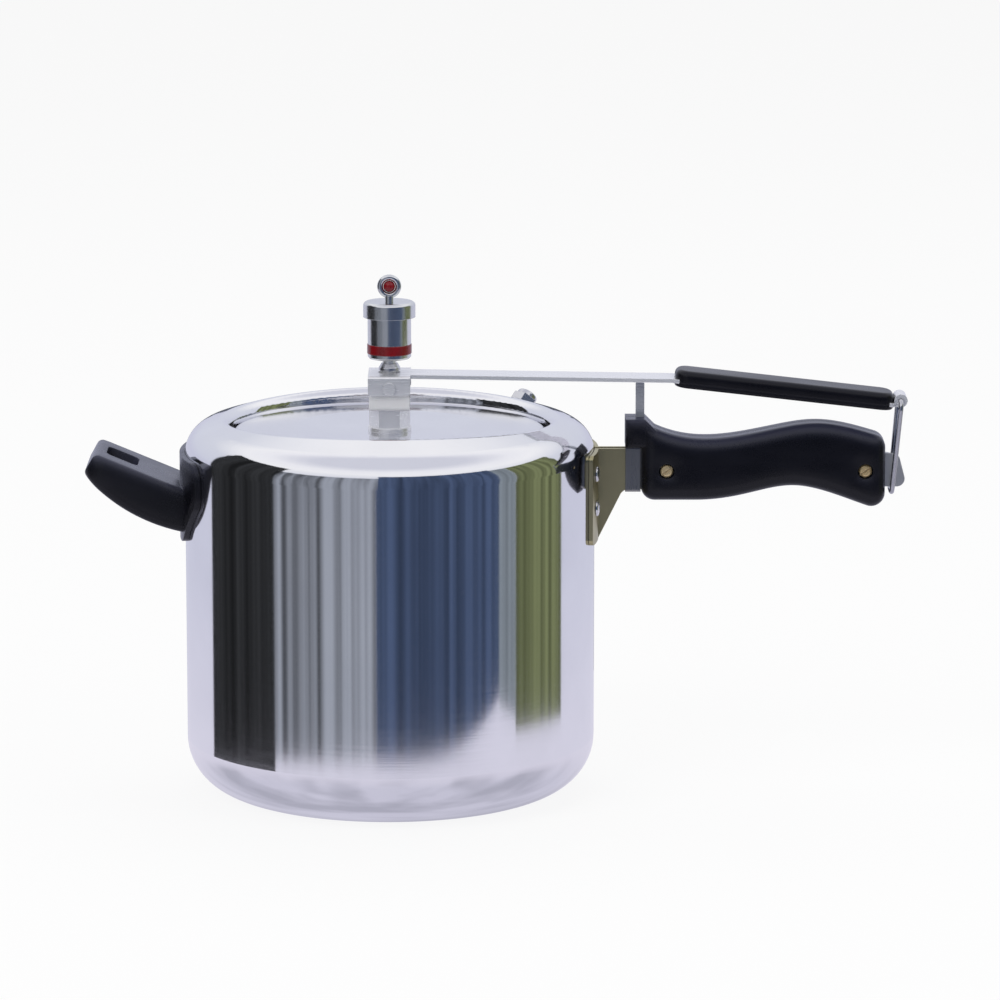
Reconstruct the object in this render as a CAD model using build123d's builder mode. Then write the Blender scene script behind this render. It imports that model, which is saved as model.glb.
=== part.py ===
from build123d import *

import math
import os

os.makedirs("parts", exist_ok=True)

# Driving dimensions. Lengths are in millimetres and angles in degrees.
# The pot stands on Z = 0 with its axis on Z, and the long handle points along +X.

# Pot
pot_radius = 104.0
pot_wall = 3.2
floor_thickness = 4.0
base_corner_radius = 28.0
wall_height = 174.0
shoulder_radius = 16.0
crown_slope = 16.7
crown_band_ends = 8.9
crown_band_sides = 18.4
lip_depth = 10.0
rim_roll = 5.0
lip_edge_round = 1.0

# Lid and its sealing ring
lid_thickness = 4.0
lid_gap = 1.2
panel_drop = 5.5
panel_round = 3.0
flange_overlap = 3.6
dish_radius = 50.0
dish_seat_radius = 14.0
dish_depth = 1.2
gasket_thickness = 4.5
gasket_web = 1.8
gasket_under = 3.0
gasket_grip = 6.0
gasket_fit = 0.15

# Vent, and the bracket that it clamps to the lid
vent_flange_radius = 11.0
vent_flange_thickness = 2.0
vent_hex = 18.0
vent_hex_height = 9.5
vent_screw_radius = 5.0
vent_stud_radius = 4.5
vent_tube_radius = 3.5
vent_bore_radius = 1.5
tube_chamfer = 1.2
vent_washer_radius = 9.0
vent_washer_thickness = 1.5
vent_nut_hex = 15.0
vent_nut_height = 5.0
bracket_sheet = 2.0
bracket_half_length = 10.2
bracket_half_width = 12.7
bracket_nut_hex = 13.0
bracket_nut_height = 4.5
stud_stand = 1.0
pivot_rise = 10.0
ear_shoulder_rise = 5.0
pivot_radius = 2.0
pivot_fit = 0.05
pivot_seat_fit = 0.02
pivot_head_radius = 3.2
pivot_head_height = 1.2
ear_top_radius = 4.2
bend_radius = 1.5
cone_nut_radius = 5.5
cone_nut_neck_radius = 4.2
cone_nut_height = 3.5
cone_nut_foot = 1.2
cone_nut_gap = 1.2

# Safety valve
valve_angle = 47.5
valve_rise = 44.0
valve_seat_gap = 0.3
valve_seat_wall = 0.25
valve_flange_radius = 7.0
valve_flange_thickness = 1.6
valve_hex = 12.0
valve_hex_height = 4.6
valve_cap_radius = 5.4
valve_cap_height = 3.0
valve_cap_round = 1.2
valve_screw_radius = 1.8
valve_bore_radius = 0.7
valve_plug_radius = 2.4
valve_plug_depth = 1.8
valve_nut_hex = 9.0
valve_nut_height = 3.4
valve_nut_fit = 0.1

# Regulator weight
weight_gap = 2.5
weight_radius = 11.0
weight_height = 26.4
weight_bore_radius = 4.3
weight_bore_depth = 17.0
weight_foot_chamfer = 1.0
tube_entry = 16.0
band_bottom = 2.6
band_height = 4.8
band_depth = 1.2
band_stand = 0.3
cap_radius = 13.2
cap_skirt = 5.2
cap_thickness = 2.7
cap_fit = 0.1
cap_round = 2.0
needle_radius = 2.4
needle_length = 9.0
needle_tip_radius = 0.4
needle_tip_length = 3.5
eye_neck_radius = 2.2
eye_neck_height = 3.0
eye_ring_radius = 4.6
eye_wire_radius = 1.5
bead_radius = 3.0

# Lid lever, its grip and the locking loop
lever_sheet = 2.0
lever_width = 18.0
lever_half_length = 10.7
lever_top_rise = 6.2
lever_side_gap = 0.3
lever_ear_drop = 3.6
lever_hole_gap = 2.2
lever_slope = 0.9
grip_slope = 6.4
lever_bend_past_fulcrum = 16.0
grip_offset = 1.5
grip_length = 111.5
grip_width = 22.0
grip_above = 5.8
grip_below = 2.9
grip_corner = 7.0
grip_round_top = 3.2
grip_round_bottom = 1.4
grip_fit = 0.1
grip_screw_inset = 22.5
grip_screw_radius = 1.6
grip_screw_reach = 4.4
grip_screw_head_radius = 3.0
grip_screw_head_height = 1.3
grip_screw_slot_width = 0.9
grip_screw_slot_depth = 0.6
eye_past_grip = 3.4
eye_outer_radius = 3.4
eye_width = 14.0
wire_radius = 1.3
wire_fit = 0.1
loop_height = 47.3
loop_tilt = 5.0
loop_half_top = 12.0
loop_half_bottom = 7.5
loop_corner = 3.6

# Long handle, with its heights counted from the line through its two screws
bar_thickness = 3.0
handle_line_drop = 8.3
fulcrum_from_wall = 23.0
fulcrum_radius = 2.2
fulcrum_gap = 0.2
boss_from_wall = 15.5
boss_length = 8.0
boss_overlap = 2.0
boss_above = 26.3
boss_round = 2.0
horn_run = 8.0
horn_fall = 8.0
boss_half_width = 10.5
loop_stand = 3.4
handle_half_width = 12.0
handle_round = 6.5
brow_above = 25.6
brow_fall = 33.0
waist_from_face = 27.5
waist_above = 16.4
palm_from_end = 46.0
palm_above = 23.2
palm_below = 8.0
heel_above = 16.6
heel_fall = 18.0
heel_below = 21.4
belly_rise = 16.7
front_below = 15.5
heel_corner = 7.0
front_corner = 7.0
bar_from_wall = 4.5
bar_above = 5.8
bar_below = 5.7
neck_above = 3.8
neck_below = 7.7
catch_reach = 11.5
catch_height = 18.0
catch_slope_run = 4.2
catch_round = 2.0
catch_shoulder_round = 3.0
catch_tip_round = 4.0
latch_gap = 0.7
screw_front_inset = 13.0
screw_rear_inset = 10.2
screw_radius = 2.0
screw_fit = 0.1
screw_head_radius = 3.5
screw_head_height = 1.8
screw_head_round = 1.5
screw_slot_width = 1.0
screw_slot_depth = 0.8
screw_slot_turn = 35.0
screw_sink = 1.4
screw_recess_gap = 0.5
nut_hex = 7.0
nut_height = 3.2
nut_sink = 1.2

# Bracket plates of the long handle, with heights from the same line
plate_sheet = 2.0
plate_fit = 0.1
plate_above = 10.4
plate_below = 35.7
plate_neck_below = 10.5
plate_neck_from_wall = 14.5
plate_in_handle = 16.5
plate_flange_half_width = 26.0
plate_corner = 5.0
rivet_radius = 1.8
rivet_fit = 0.1
rivet_head_radius = 4.0
rivet_head_height = 1.5
plate_rivet_offset = 15.55
plate_rivet_low = 18.0
plate_rivet_high = 0.5
bar_rivet_from_wall = 27.6
bar_rivet_below = 0.5
collar_sheet = 1.2
collar_fit = 0.1

# Helper handle, with its heights counted from the underside of its steel tongue
helper_fit = 0.15
helper_line_drop = 21.5
helper_shield_thickness = 2.6
helper_shield_above = 22.5
helper_shield_below = 21.0
helper_knee_above = 1.5
helper_shield_half_width = 45.0
helper_shield_foot_half_width = 22.0
helper_shield_corner = 9.0
helper_half_width = 25.0
helper_reach = 50.5
helper_tip_above = 27.0
helper_tip_lean = 6.0
helper_slope = 22.5
helper_tip_depth = 13.0
helper_knee_reach = 23.0
helper_knee_below = 8.0
helper_root_below = 16.5
helper_side_round = 10.0
helper_edge_round = 3.5
pocket_length = 17.0
pocket_width = 20.0
pocket_depth = 5.0
pocket_from_tip = 12.0
pocket_round = 3.0
tongue_half_width = 9.0
tongue_length = 22.0
tongue_sheet = 2.5
helper_plate_half_width = 14.0
helper_plate_below = 12.0
helper_plate_above = 4.0
helper_rivet_offset = 9.06
helper_rivet_below = 6.0
helper_screw_reach = 15.0
helper_screw_radius = 2.0
helper_screw_length = 14.0
helper_screw_seat_depth = 3.0
helper_screw_head_radius = 3.6
helper_screw_head_height = 2.4

# Heights and places that follow from the values above
crown_tan = math.tan(math.radians(crown_slope))
shoulder_centre = pot_radius - shoulder_radius
crown_start_radius = shoulder_centre + shoulder_radius * math.sin(math.radians(crown_slope))
crown_start_z = wall_height + shoulder_radius * math.cos(math.radians(crown_slope))
lip_half_length = crown_start_radius - crown_band_ends
lip_half_width = crown_start_radius - crown_band_sides
mouth_half_length = lip_half_length - pot_wall
mouth_half_width = lip_half_width - pot_wall
crown_z = crown_start_z + crown_band_ends * crown_tan
lip_bottom = crown_z - lip_depth
core_radius = mouth_half_width / 2
core_z = crown_start_z + (crown_start_radius - core_radius) * crown_tan

panel_top = crown_z - panel_drop
panel_half_length = mouth_half_length - lid_gap
panel_half_width = mouth_half_width - lid_gap
flange_half_length = lip_half_length + flange_overlap
flange_half_width = lip_half_width + flange_overlap
flange_top = lip_bottom - gasket_thickness
flange_bottom = flange_top - lid_thickness
panel_under = panel_top - lid_thickness
vent_seat = panel_top - dish_depth

hex_bottom = vent_seat + vent_flange_thickness
hex_top = hex_bottom + vent_hex_height
bracket_top = hex_top + bracket_sheet
bracket_nut_top = bracket_top + bracket_nut_height
pivot_z = bracket_top + pivot_rise
lever_top = pivot_z + lever_top_rise
lever_mid = lever_top - lever_sheet / 2
cone_nut_bottom = lever_top + cone_nut_gap
cone_nut_top = cone_nut_bottom + cone_nut_height
weight_bottom = cone_nut_top + weight_gap
weight_top = weight_bottom + weight_height
tube_top = weight_bottom + tube_entry

lever_tan = math.tan(math.radians(lever_slope))
grip_cos = math.cos(math.radians(grip_slope))
grip_sin = math.sin(math.radians(grip_slope))
fulcrum_x = pot_radius + fulcrum_from_wall
lever_bend_x = fulcrum_x + lever_bend_past_fulcrum
lever_bend_z = lever_mid - (lever_bend_x - lever_half_length) * lever_tan
fulcrum_z = lever_mid - (fulcrum_x - lever_half_length) * lever_tan
fulcrum_z = fulcrum_z - lever_sheet / 2 - fulcrum_gap - fulcrum_radius
grip_screw_first = grip_offset + grip_screw_inset
grip_screw_last = grip_offset + grip_length - grip_screw_inset
eye_run = grip_offset + grip_length + eye_past_grip
eye_lift = eye_outer_radius - lever_sheet / 2
eye_x = lever_bend_x + eye_run * grip_cos + eye_lift * grip_sin
eye_z = lever_bend_z - eye_run * grip_sin + eye_lift * grip_cos
crossbar_x = eye_x - loop_height * math.sin(math.radians(loop_tilt))
crossbar_z = eye_z - loop_height * math.cos(math.radians(loop_tilt))
catch_bottom = crossbar_z + wire_radius + latch_gap
catch_top = catch_bottom + catch_height

handle_line_z = wall_height - handle_line_drop
handle_front_x = pot_radius + boss_from_wall
handle_face_x = handle_front_x + boss_length
handle_end_x = crossbar_x - loop_stand
boss_back_x = handle_face_x + boss_overlap
boss_top_z = handle_line_z + boss_above
brow_z = handle_line_z + brow_above
waist_x = handle_face_x + waist_from_face
waist_top_z = handle_line_z + waist_above
palm_x = handle_end_x - palm_from_end
palm_top_z = handle_line_z + palm_above
palm_bottom_z = handle_line_z - palm_below
heel_top_z = handle_line_z + heel_above
heel_bottom_z = handle_line_z - heel_below
front_bottom_z = handle_line_z - front_below
bar_start_x = pot_radius + bar_from_wall
bar_top_z = handle_line_z + bar_above
bar_bottom_z = handle_line_z - bar_below
bar_neck_top_z = handle_line_z + neck_above
bar_neck_bottom_z = handle_line_z - neck_below
screw_z = handle_line_z
screw_front_x = handle_face_x + screw_front_inset
screw_rear_x = handle_end_x - screw_rear_inset

plate_top_z = handle_line_z + plate_above
collar_top_z = plate_top_z + plate_fit + collar_sheet
boss_bottom_z = collar_top_z + collar_fit
plate_foot_z = handle_line_z - plate_below
plate_neck_z = handle_line_z - plate_neck_below
plate_neck_x = pot_radius + plate_neck_from_wall
plate_end_x = handle_front_x + plate_in_handle
plate_rivet_angle = math.degrees(math.asin(plate_rivet_offset / pot_radius))
plate_rivet_low_z = handle_line_z - plate_rivet_low
plate_rivet_high_z = handle_line_z - plate_rivet_high
bar_rivet_x = pot_radius + bar_rivet_from_wall
bar_rivet_z = handle_line_z - bar_rivet_below

tongue_z = wall_height - helper_line_drop
helper_shield_top_z = tongue_z + helper_shield_above
helper_shield_foot_z = tongue_z - helper_shield_below
helper_end_x = -(pot_radius + helper_reach)
helper_tip_z = tongue_z + helper_tip_above
helper_knee_x = -(pot_radius + helper_knee_reach)
helper_knee_z = tongue_z - helper_knee_below
helper_root_z = tongue_z - helper_root_below
helper_plate_low_z = tongue_z - helper_plate_below
helper_plate_high_z = tongue_z + helper_plate_above
helper_rivet_angle = math.degrees(math.asin(helper_rivet_offset / pot_radius))
helper_rivet_z = tongue_z - helper_rivet_below
helper_screw_x = -(pot_radius + helper_screw_reach)

grip_plane = Plane(
    origin=(lever_bend_x, 0, lever_bend_z),
    x_dir=(grip_cos, 0, -grip_sin),
    z_dir=(grip_sin, 0, grip_cos),
)
grip_axis = Axis(grip_plane.origin, grip_plane.z_dir)


def wall_plane(angle: float, height: float) -> Plane:
    """Plane on the pot's outside wall, its normal pointing straight out.

    Args:
        angle: Place around the pot, counted from +X, in degrees.
        height: Height above the base.

    Returns:
        The plane that a rivet is drawn on.
    """
    turn = math.radians(angle)
    outward = (math.cos(turn), math.sin(turn), 0)
    return Plane(
        origin=(pot_radius * outward[0], pot_radius * outward[1], height),
        x_dir=(0, 0, 1),
        z_dir=outward,
    )


def shoulder_plane(angle: float, rise: float) -> Plane:
    """Plane on the outside of the pot's rounded shoulder, its normal pointing straight out.

    Args:
        angle: Place around the pot, counted from +X, in degrees.
        rise: Tilt of the normal above level, in degrees.

    Returns:
        The plane that a fitting is drawn on.
    """
    turn = math.radians(angle)
    lift = math.radians(rise)
    reach = shoulder_centre + shoulder_radius * math.cos(lift)
    return Plane(
        origin=(reach * math.cos(turn), reach * math.sin(turn), wall_height + shoulder_radius * math.sin(lift)),
        x_dir=(-math.sin(turn), math.cos(turn), 0),
        z_dir=(math.cos(lift) * math.cos(turn), math.cos(lift) * math.sin(turn), math.sin(lift)),
    )


def slope_vector(angle: float) -> Vector:
    """Direction of a line in the handle's side view.

    Args:
        angle: Rise of the line towards +X, in degrees.

    Returns:
        The direction, one unit long.
    """
    return Vector(1, 0).rotate(Axis.Z, angle)


def write(piece: Part, name: str) -> None:
    """Label a finished piece and write it to its own file.

    Args:
        piece: The finished piece.
        name: Name of the piece and of its file.
    """
    piece.label = name
    export_step(piece, f"parts/{name}.step")


plate_rivet_planes = [
    wall_plane(plate_rivet_angle, plate_rivet_low_z),
    wall_plane(plate_rivet_angle, plate_rivet_high_z),
    wall_plane(-plate_rivet_angle, plate_rivet_low_z),
    wall_plane(-plate_rivet_angle, plate_rivet_high_z),
]
helper_rivet_planes = [
    wall_plane(180 - helper_rivet_angle, helper_rivet_z),
    wall_plane(180 + helper_rivet_angle, helper_rivet_z),
]

valve_plane = shoulder_plane(valve_angle, valve_rise)
valve_seat_radius = valve_flange_radius + valve_seat_gap
valve_seat_rise = shoulder_radius - math.sqrt(shoulder_radius**2 - valve_seat_radius**2)
valve_seat_sink = valve_seat_rise + valve_seat_wall
valve_seat = valve_plane.offset(-valve_seat_sink)

# Pot: a drawn shell with an oval mouth whose lip turns down for the sealing ring
inner_corner = base_corner_radius - pot_wall
inner_arc = shoulder_radius - pot_wall
corner_x = pot_radius - base_corner_radius
corner_z = floor_thickness + inner_corner
with BuildPart() as pot_cavity:
    with BuildSketch(Plane.XZ):
        with BuildLine():
            inner_floor = Line((0, floor_thickness), (corner_x, floor_thickness))
            inner_foot = CenterArc((corner_x, corner_z), inner_corner, -90, 90)
            inner_side = Line(inner_foot @ 1, (pot_radius - pot_wall, wall_height))
            inner_shoulder = CenterArc((shoulder_centre, wall_height), inner_arc, 0, 90 - crown_slope)
            core_top = (inner_shoulder @ 1).Y + ((inner_shoulder @ 1).X - core_radius) * crown_tan
            inner_crown = Line(inner_shoulder @ 1, (core_radius, core_top))
            Polyline(inner_crown @ 1, (0, core_top), (0, floor_thickness))
        make_face()
    revolve(axis=Axis.Z)
    with BuildSketch(Plane.XY.offset(lip_bottom)):
        Ellipse(lip_half_length, lip_half_width)
    extrude(amount=wall_height, mode=Mode.SUBTRACT)

with BuildPart() as pot_body:
    with BuildSketch(Plane.XZ):
        with BuildLine():
            foot_flat = Line((0, 0), (corner_x, 0))
            foot_arc = CenterArc((corner_x, base_corner_radius), base_corner_radius, -90, 90)
            side = Line(foot_arc @ 1, (pot_radius, wall_height))
            shoulder = CenterArc((shoulder_centre, wall_height), shoulder_radius, 0, 90 - crown_slope)
            crown = Line(shoulder @ 1, (core_radius, core_z))
            Polyline(crown @ 1, (0, core_z), (0, 0))
        make_face()
    revolve(axis=Axis.Z)
    add(pot_cavity.part, mode=Mode.SUBTRACT)
    with BuildSketch(Plane.XY.offset(lip_bottom)):
        Ellipse(mouth_half_length, mouth_half_width)
    extrude(amount=wall_height, mode=Mode.SUBTRACT)
    fillet(pot_body.edges().group_by(Axis.Z)[-1], rim_roll)
    fillet(pot_body.edges().filter_by_position(Axis.Z, lip_bottom, lip_bottom), lip_edge_round)
    for place in plate_rivet_planes + helper_rivet_planes:
        with BuildSketch(place):
            Circle(rivet_radius + rivet_fit)
        extrude(amount=-2 * pot_wall, mode=Mode.SUBTRACT)
    with BuildSketch(valve_seat):
        Circle(valve_seat_radius)
    extrude(amount=2 * valve_seat_sink, mode=Mode.SUBTRACT)
    with BuildSketch(valve_seat):
        Circle(valve_screw_radius + screw_fit)
    extrude(amount=-2 * pot_wall, mode=Mode.SUBTRACT)
write(pot_body.part, "pot_body")

# Lid: an oval dished panel standing up inside the mouth, with a flange below the lip
with BuildPart() as lid:
    with BuildSketch(Plane.XY.offset(flange_bottom)):
        Ellipse(flange_half_length, flange_half_width)
    extrude(amount=lid_thickness)
    with BuildSketch(Plane.XY.offset(flange_bottom)):
        Ellipse(panel_half_length, panel_half_width)
    extrude(amount=panel_top - flange_bottom)
    fillet(lid.edges().group_by(Axis.Z)[-1], panel_round)
    with BuildSketch(Plane.XY.offset(flange_bottom)):
        Ellipse(panel_half_length - lid_thickness, panel_half_width - lid_thickness)
    extrude(amount=panel_under - flange_bottom, mode=Mode.SUBTRACT)
    with BuildSketch(Plane.XZ):
        with BuildLine():
            seat_line = Line((0, vent_seat), (dish_seat_radius, vent_seat))
            dish_curve = TangentArc(seat_line @ 1, (dish_radius, panel_top), tangent=(1, 0))
            Polyline(
                dish_curve @ 1,
                (dish_radius, panel_top + lid_thickness),
                (0, panel_top + lid_thickness),
                (0, vent_seat),
            )
        make_face()
    revolve(axis=Axis.Z, mode=Mode.SUBTRACT)
    with BuildSketch(Plane.XY.offset(panel_under)):
        Circle(vent_screw_radius + screw_fit)
    extrude(amount=2 * lid_thickness, both=True, mode=Mode.SUBTRACT)
write(lid.part, "lid")

with BuildPart() as sealing_gasket:
    with BuildSketch(Plane.XY.offset(flange_bottom - gasket_fit - gasket_under)):
        Ellipse(
            flange_half_length + gasket_fit + gasket_web,
            flange_half_width + gasket_fit + gasket_web,
        )
    extrude(amount=gasket_under + gasket_fit + lid_thickness + gasket_thickness)
    with BuildSketch(Plane.XY.offset(flange_top)):
        Ellipse(panel_half_length + gasket_fit, panel_half_width + gasket_fit)
    extrude(amount=gasket_thickness, mode=Mode.SUBTRACT)
    with BuildSketch(Plane.XY.offset(flange_bottom - gasket_fit)):
        Ellipse(flange_half_length + gasket_fit, flange_half_width + gasket_fit)
    extrude(amount=lid_thickness + gasket_fit, mode=Mode.SUBTRACT)
    with BuildSketch(Plane.XY.offset(flange_bottom - gasket_fit - gasket_under)):
        Ellipse(flange_half_length - gasket_grip, flange_half_width - gasket_grip)
    extrude(amount=gasket_under, mode=Mode.SUBTRACT)
write(sealing_gasket.part, "sealing_gasket")

# Vent: a turned hexagon body screwed through the lid, with the steam tube above it
with BuildPart() as vent_tube:
    with BuildSketch(Plane.XY.offset(vent_seat)):
        Circle(vent_flange_radius)
    extrude(amount=vent_flange_thickness)
    with BuildSketch(Plane.XY.offset(hex_bottom)):
        RegularPolygon(vent_hex / 2, 6, major_radius=False)
    extrude(amount=vent_hex_height)
    with BuildSketch(Plane.XY.offset(vent_seat)):
        Circle(vent_screw_radius)
    extrude(amount=-(vent_seat - panel_under + vent_washer_thickness + vent_nut_height + stud_stand))
    with BuildSketch(Plane.XY.offset(hex_top)):
        Circle(vent_stud_radius)
    extrude(amount=bracket_sheet + bracket_nut_height + stud_stand)
    with BuildSketch(Plane.XY.offset(hex_top)):
        Circle(vent_tube_radius)
    extrude(amount=tube_top - hex_top)
    chamfer(vent_tube.edges().group_by(Axis.Z)[-1], tube_chamfer)
    with BuildSketch(Plane.XY.offset(tube_top)):
        Circle(vent_bore_radius)
    extrude(amount=-2 * (tube_top - vent_seat), mode=Mode.SUBTRACT)
write(vent_tube.part, "vent_tube")

with BuildPart() as vent_washer:
    with BuildSketch(Plane.XY.offset(panel_under)):
        Circle(vent_washer_radius)
        Circle(vent_screw_radius + screw_fit, mode=Mode.SUBTRACT)
    extrude(amount=-vent_washer_thickness)
write(vent_washer.part, "vent_washer")

with BuildPart() as vent_lock_nut:
    with BuildSketch(Plane.XY.offset(panel_under - vent_washer_thickness)):
        RegularPolygon(vent_nut_hex / 2, 6, major_radius=False)
        Circle(vent_screw_radius + screw_fit, mode=Mode.SUBTRACT)
    extrude(amount=-vent_nut_height)
write(vent_lock_nut.part, "vent_lock_nut")

# Lid bracket: an upright channel on the vent body, whose two ears carry the lever's pivots
ear_inner = bracket_half_width - bracket_sheet
with BuildPart() as lid_bracket:
    with BuildSketch(Plane.YZ):
        with Locations((0, hex_top)):
            Rectangle(2 * bracket_half_width, 2 * pivot_rise, align=(Align.CENTER, Align.MIN))
    extrude(amount=bracket_half_length, both=True)
    fillet(
        lid_bracket.edges().filter_by(Axis.X).group_by(Axis.Z)[0],
        bend_radius + bracket_sheet / 2,
    )
    with BuildSketch(Plane.YZ):
        with Locations((0, bracket_top)):
            Rectangle(2 * ear_inner, 4 * pivot_rise, align=(Align.CENTER, Align.MIN))
    extrude(amount=2 * bracket_half_length, both=True, mode=Mode.SUBTRACT)
    with BuildSketch(Plane.XZ):
        with BuildLine():
            ear_shoulder = bracket_top + ear_shoulder_rise
            Polyline(
                (-ear_top_radius, pivot_z),
                (-bracket_half_length, ear_shoulder),
                (-bracket_half_length, hex_top),
                (bracket_half_length, hex_top),
                (bracket_half_length, ear_shoulder),
                (ear_top_radius, pivot_z),
            )
            CenterArc((0, pivot_z), ear_top_radius, 0, 180)
        make_face()
    extrude(amount=2 * bracket_half_width, both=True, mode=Mode.INTERSECT)
    with BuildSketch(Plane.XZ):
        with Locations((0, pivot_z)):
            Circle(pivot_radius + pivot_fit)
    extrude(amount=2 * bracket_half_width, both=True, mode=Mode.SUBTRACT)
    with BuildSketch(Plane.XY.offset(hex_top)):
        Circle(vent_stud_radius + screw_fit)
    extrude(amount=2 * bracket_sheet, both=True, mode=Mode.SUBTRACT)
write(lid_bracket.part, "lid_bracket")

with BuildPart() as bracket_nut:
    with BuildSketch(Plane.XY.offset(bracket_top)):
        RegularPolygon(bracket_nut_hex / 2, 6, major_radius=False)
        Circle(vent_stud_radius + screw_fit, mode=Mode.SUBTRACT)
    extrude(amount=bracket_nut_height)
write(bracket_nut.part, "bracket_nut")

with BuildPart() as vent_cone_nut:
    with BuildSketch(Plane.XZ):
        Polygon(
            (vent_tube_radius + screw_fit, cone_nut_bottom),
            (cone_nut_radius, cone_nut_bottom),
            (cone_nut_radius, cone_nut_bottom + cone_nut_foot),
            (cone_nut_neck_radius, cone_nut_top),
            (vent_tube_radius + screw_fit, cone_nut_top),
            align=None,
        )
    revolve(axis=Axis.Z)
write(vent_cone_nut.part, "vent_cone_nut")

# Safety valve: a hexagon body with a round cap and a fusible plug, through the pot's shoulder
valve_cap_foot = valve_flange_thickness + valve_hex_height
valve_cap_top = valve_cap_foot + valve_cap_height
valve_nut_radius = inner_arc - valve_nut_fit
valve_nut_sink = shoulder_radius - valve_nut_radius + valve_nut_height
valve_shank = valve_nut_sink + stud_stand - valve_seat_sink
valve_axis = Axis(valve_seat.origin, valve_seat.z_dir)
with BuildPart() as safety_valve_body:
    with BuildSketch(valve_seat):
        Circle(valve_flange_radius)
    extrude(amount=valve_flange_thickness)
    with BuildSketch(valve_seat.offset(valve_flange_thickness)):
        RegularPolygon(valve_hex / 2, 6, major_radius=False)
    extrude(amount=valve_hex_height)
    with BuildSketch(valve_seat.offset(valve_cap_foot)):
        Circle(valve_cap_radius)
    extrude(amount=valve_cap_height)
    fillet(safety_valve_body.faces().sort_by(valve_axis)[-1].edges(), valve_cap_round)
    with BuildSketch(valve_seat):
        Circle(valve_screw_radius)
    extrude(amount=-valve_shank)
    with BuildSketch(valve_seat.offset(valve_cap_top)):
        Circle(valve_plug_radius)
    extrude(amount=-valve_plug_depth, mode=Mode.SUBTRACT)
    with BuildSketch(valve_seat.offset(valve_cap_top)):
        Circle(valve_bore_radius)
    extrude(amount=-2 * (valve_cap_top + valve_shank), mode=Mode.SUBTRACT)
write(safety_valve_body.part, "safety_valve_body")

with BuildPart() as safety_valve_plug:
    with BuildSketch(valve_seat.offset(valve_cap_top - valve_plug_depth)):
        Circle(valve_plug_radius - screw_fit)
    extrude(amount=valve_plug_depth)
write(safety_valve_plug.part, "safety_valve_plug")

with BuildPart() as safety_valve_nut:
    with BuildSketch(valve_plane.offset(-valve_nut_sink)):
        RegularPolygon(valve_nut_hex / 2, 6, major_radius=False)
        Circle(valve_screw_radius + screw_fit, mode=Mode.SUBTRACT)
    extrude(amount=valve_nut_height)
    with Locations(valve_plane.offset(-shoulder_radius).origin):
        Sphere(valve_nut_radius, mode=Mode.INTERSECT)
write(safety_valve_nut.part, "safety_valve_nut")

# Regulator weight: it stands on the vent tube by its needle and lifts straight off
band_bottom_z = weight_bottom + band_bottom
cap_bottom = weight_top - cap_skirt
with BuildPart() as weight_body:
    with BuildSketch(Plane.XY.offset(weight_bottom)):
        Circle(weight_radius)
    extrude(amount=weight_height)
    chamfer(weight_body.edges().group_by(Axis.Z)[0], weight_foot_chamfer)
    with BuildSketch(Plane.XY.offset(band_bottom_z)):
        Circle(weight_radius + band_depth)
        Circle(weight_radius - band_depth, mode=Mode.SUBTRACT)
    extrude(amount=band_height, mode=Mode.SUBTRACT)
    with BuildSketch(Plane.XY.offset(weight_bottom)):
        Circle(weight_bore_radius)
    extrude(amount=weight_bore_depth, mode=Mode.SUBTRACT)
    with BuildSketch(Plane.XY.offset(weight_bottom)):
        Circle(needle_radius + screw_fit)
    extrude(amount=weight_bore_depth + needle_length, mode=Mode.SUBTRACT)
write(weight_body.part, "weight_body")

with BuildPart() as weight_band:
    with BuildSketch(Plane.XY.offset(band_bottom_z)):
        Circle(weight_radius + band_stand)
        Circle(weight_radius - band_depth, mode=Mode.SUBTRACT)
    extrude(amount=band_height)
    fillet(weight_band.edges().filter_by(GeomType.CIRCLE).group_by(SortBy.LENGTH)[-1], band_stand)
write(weight_band.part, "weight_band")

with BuildPart() as weight_cap:
    with BuildSketch(Plane.XY.offset(cap_bottom)):
        Circle(cap_radius)
    extrude(amount=weight_top + cap_thickness - cap_bottom)
    fillet(weight_cap.edges().group_by(Axis.Z)[-1], cap_round)
    with BuildSketch(Plane.XY.offset(cap_bottom)):
        Circle(weight_radius + cap_fit)
    extrude(amount=weight_top - cap_bottom, mode=Mode.SUBTRACT)
    with BuildSketch(Plane.XY.offset(weight_top)):
        Circle(eye_neck_radius + cap_fit)
    extrude(amount=2 * cap_thickness, mode=Mode.SUBTRACT)
write(weight_cap.part, "weight_cap")

needle_foot = weight_bottom + weight_bore_depth
with BuildPart() as weight_needle:
    with BuildSketch(Plane.XZ):
        Polygon(
            (0, tube_top - needle_tip_length / 2),
            (needle_tip_radius, tube_top - needle_tip_length / 2),
            (needle_radius, tube_top + needle_tip_length / 2),
            (needle_radius, needle_foot + needle_length),
            (0, needle_foot + needle_length),
            align=None,
        )
    revolve(axis=Axis.Z)
write(weight_needle.part, "weight_needle")

eye_top_z = weight_top + cap_thickness + eye_neck_height + eye_ring_radius
with BuildPart() as weight_eye:
    with BuildSketch(Plane.XY.offset(weight_top)):
        Circle(eye_neck_radius)
    extrude(amount=cap_thickness + eye_neck_height)
    with BuildSketch(Plane.XY.offset(eye_top_z)):
        with Locations((eye_ring_radius, 0)):
            Circle(eye_wire_radius)
    revolve(axis=Axis((0, 0, eye_top_z), (0, 1, 0)))
write(weight_eye.part, "weight_eye")

with BuildPart() as weight_bead:
    with Locations((0, 0, eye_top_z)):
        Sphere(bead_radius)
write(weight_bead.part, "weight_bead")

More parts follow.
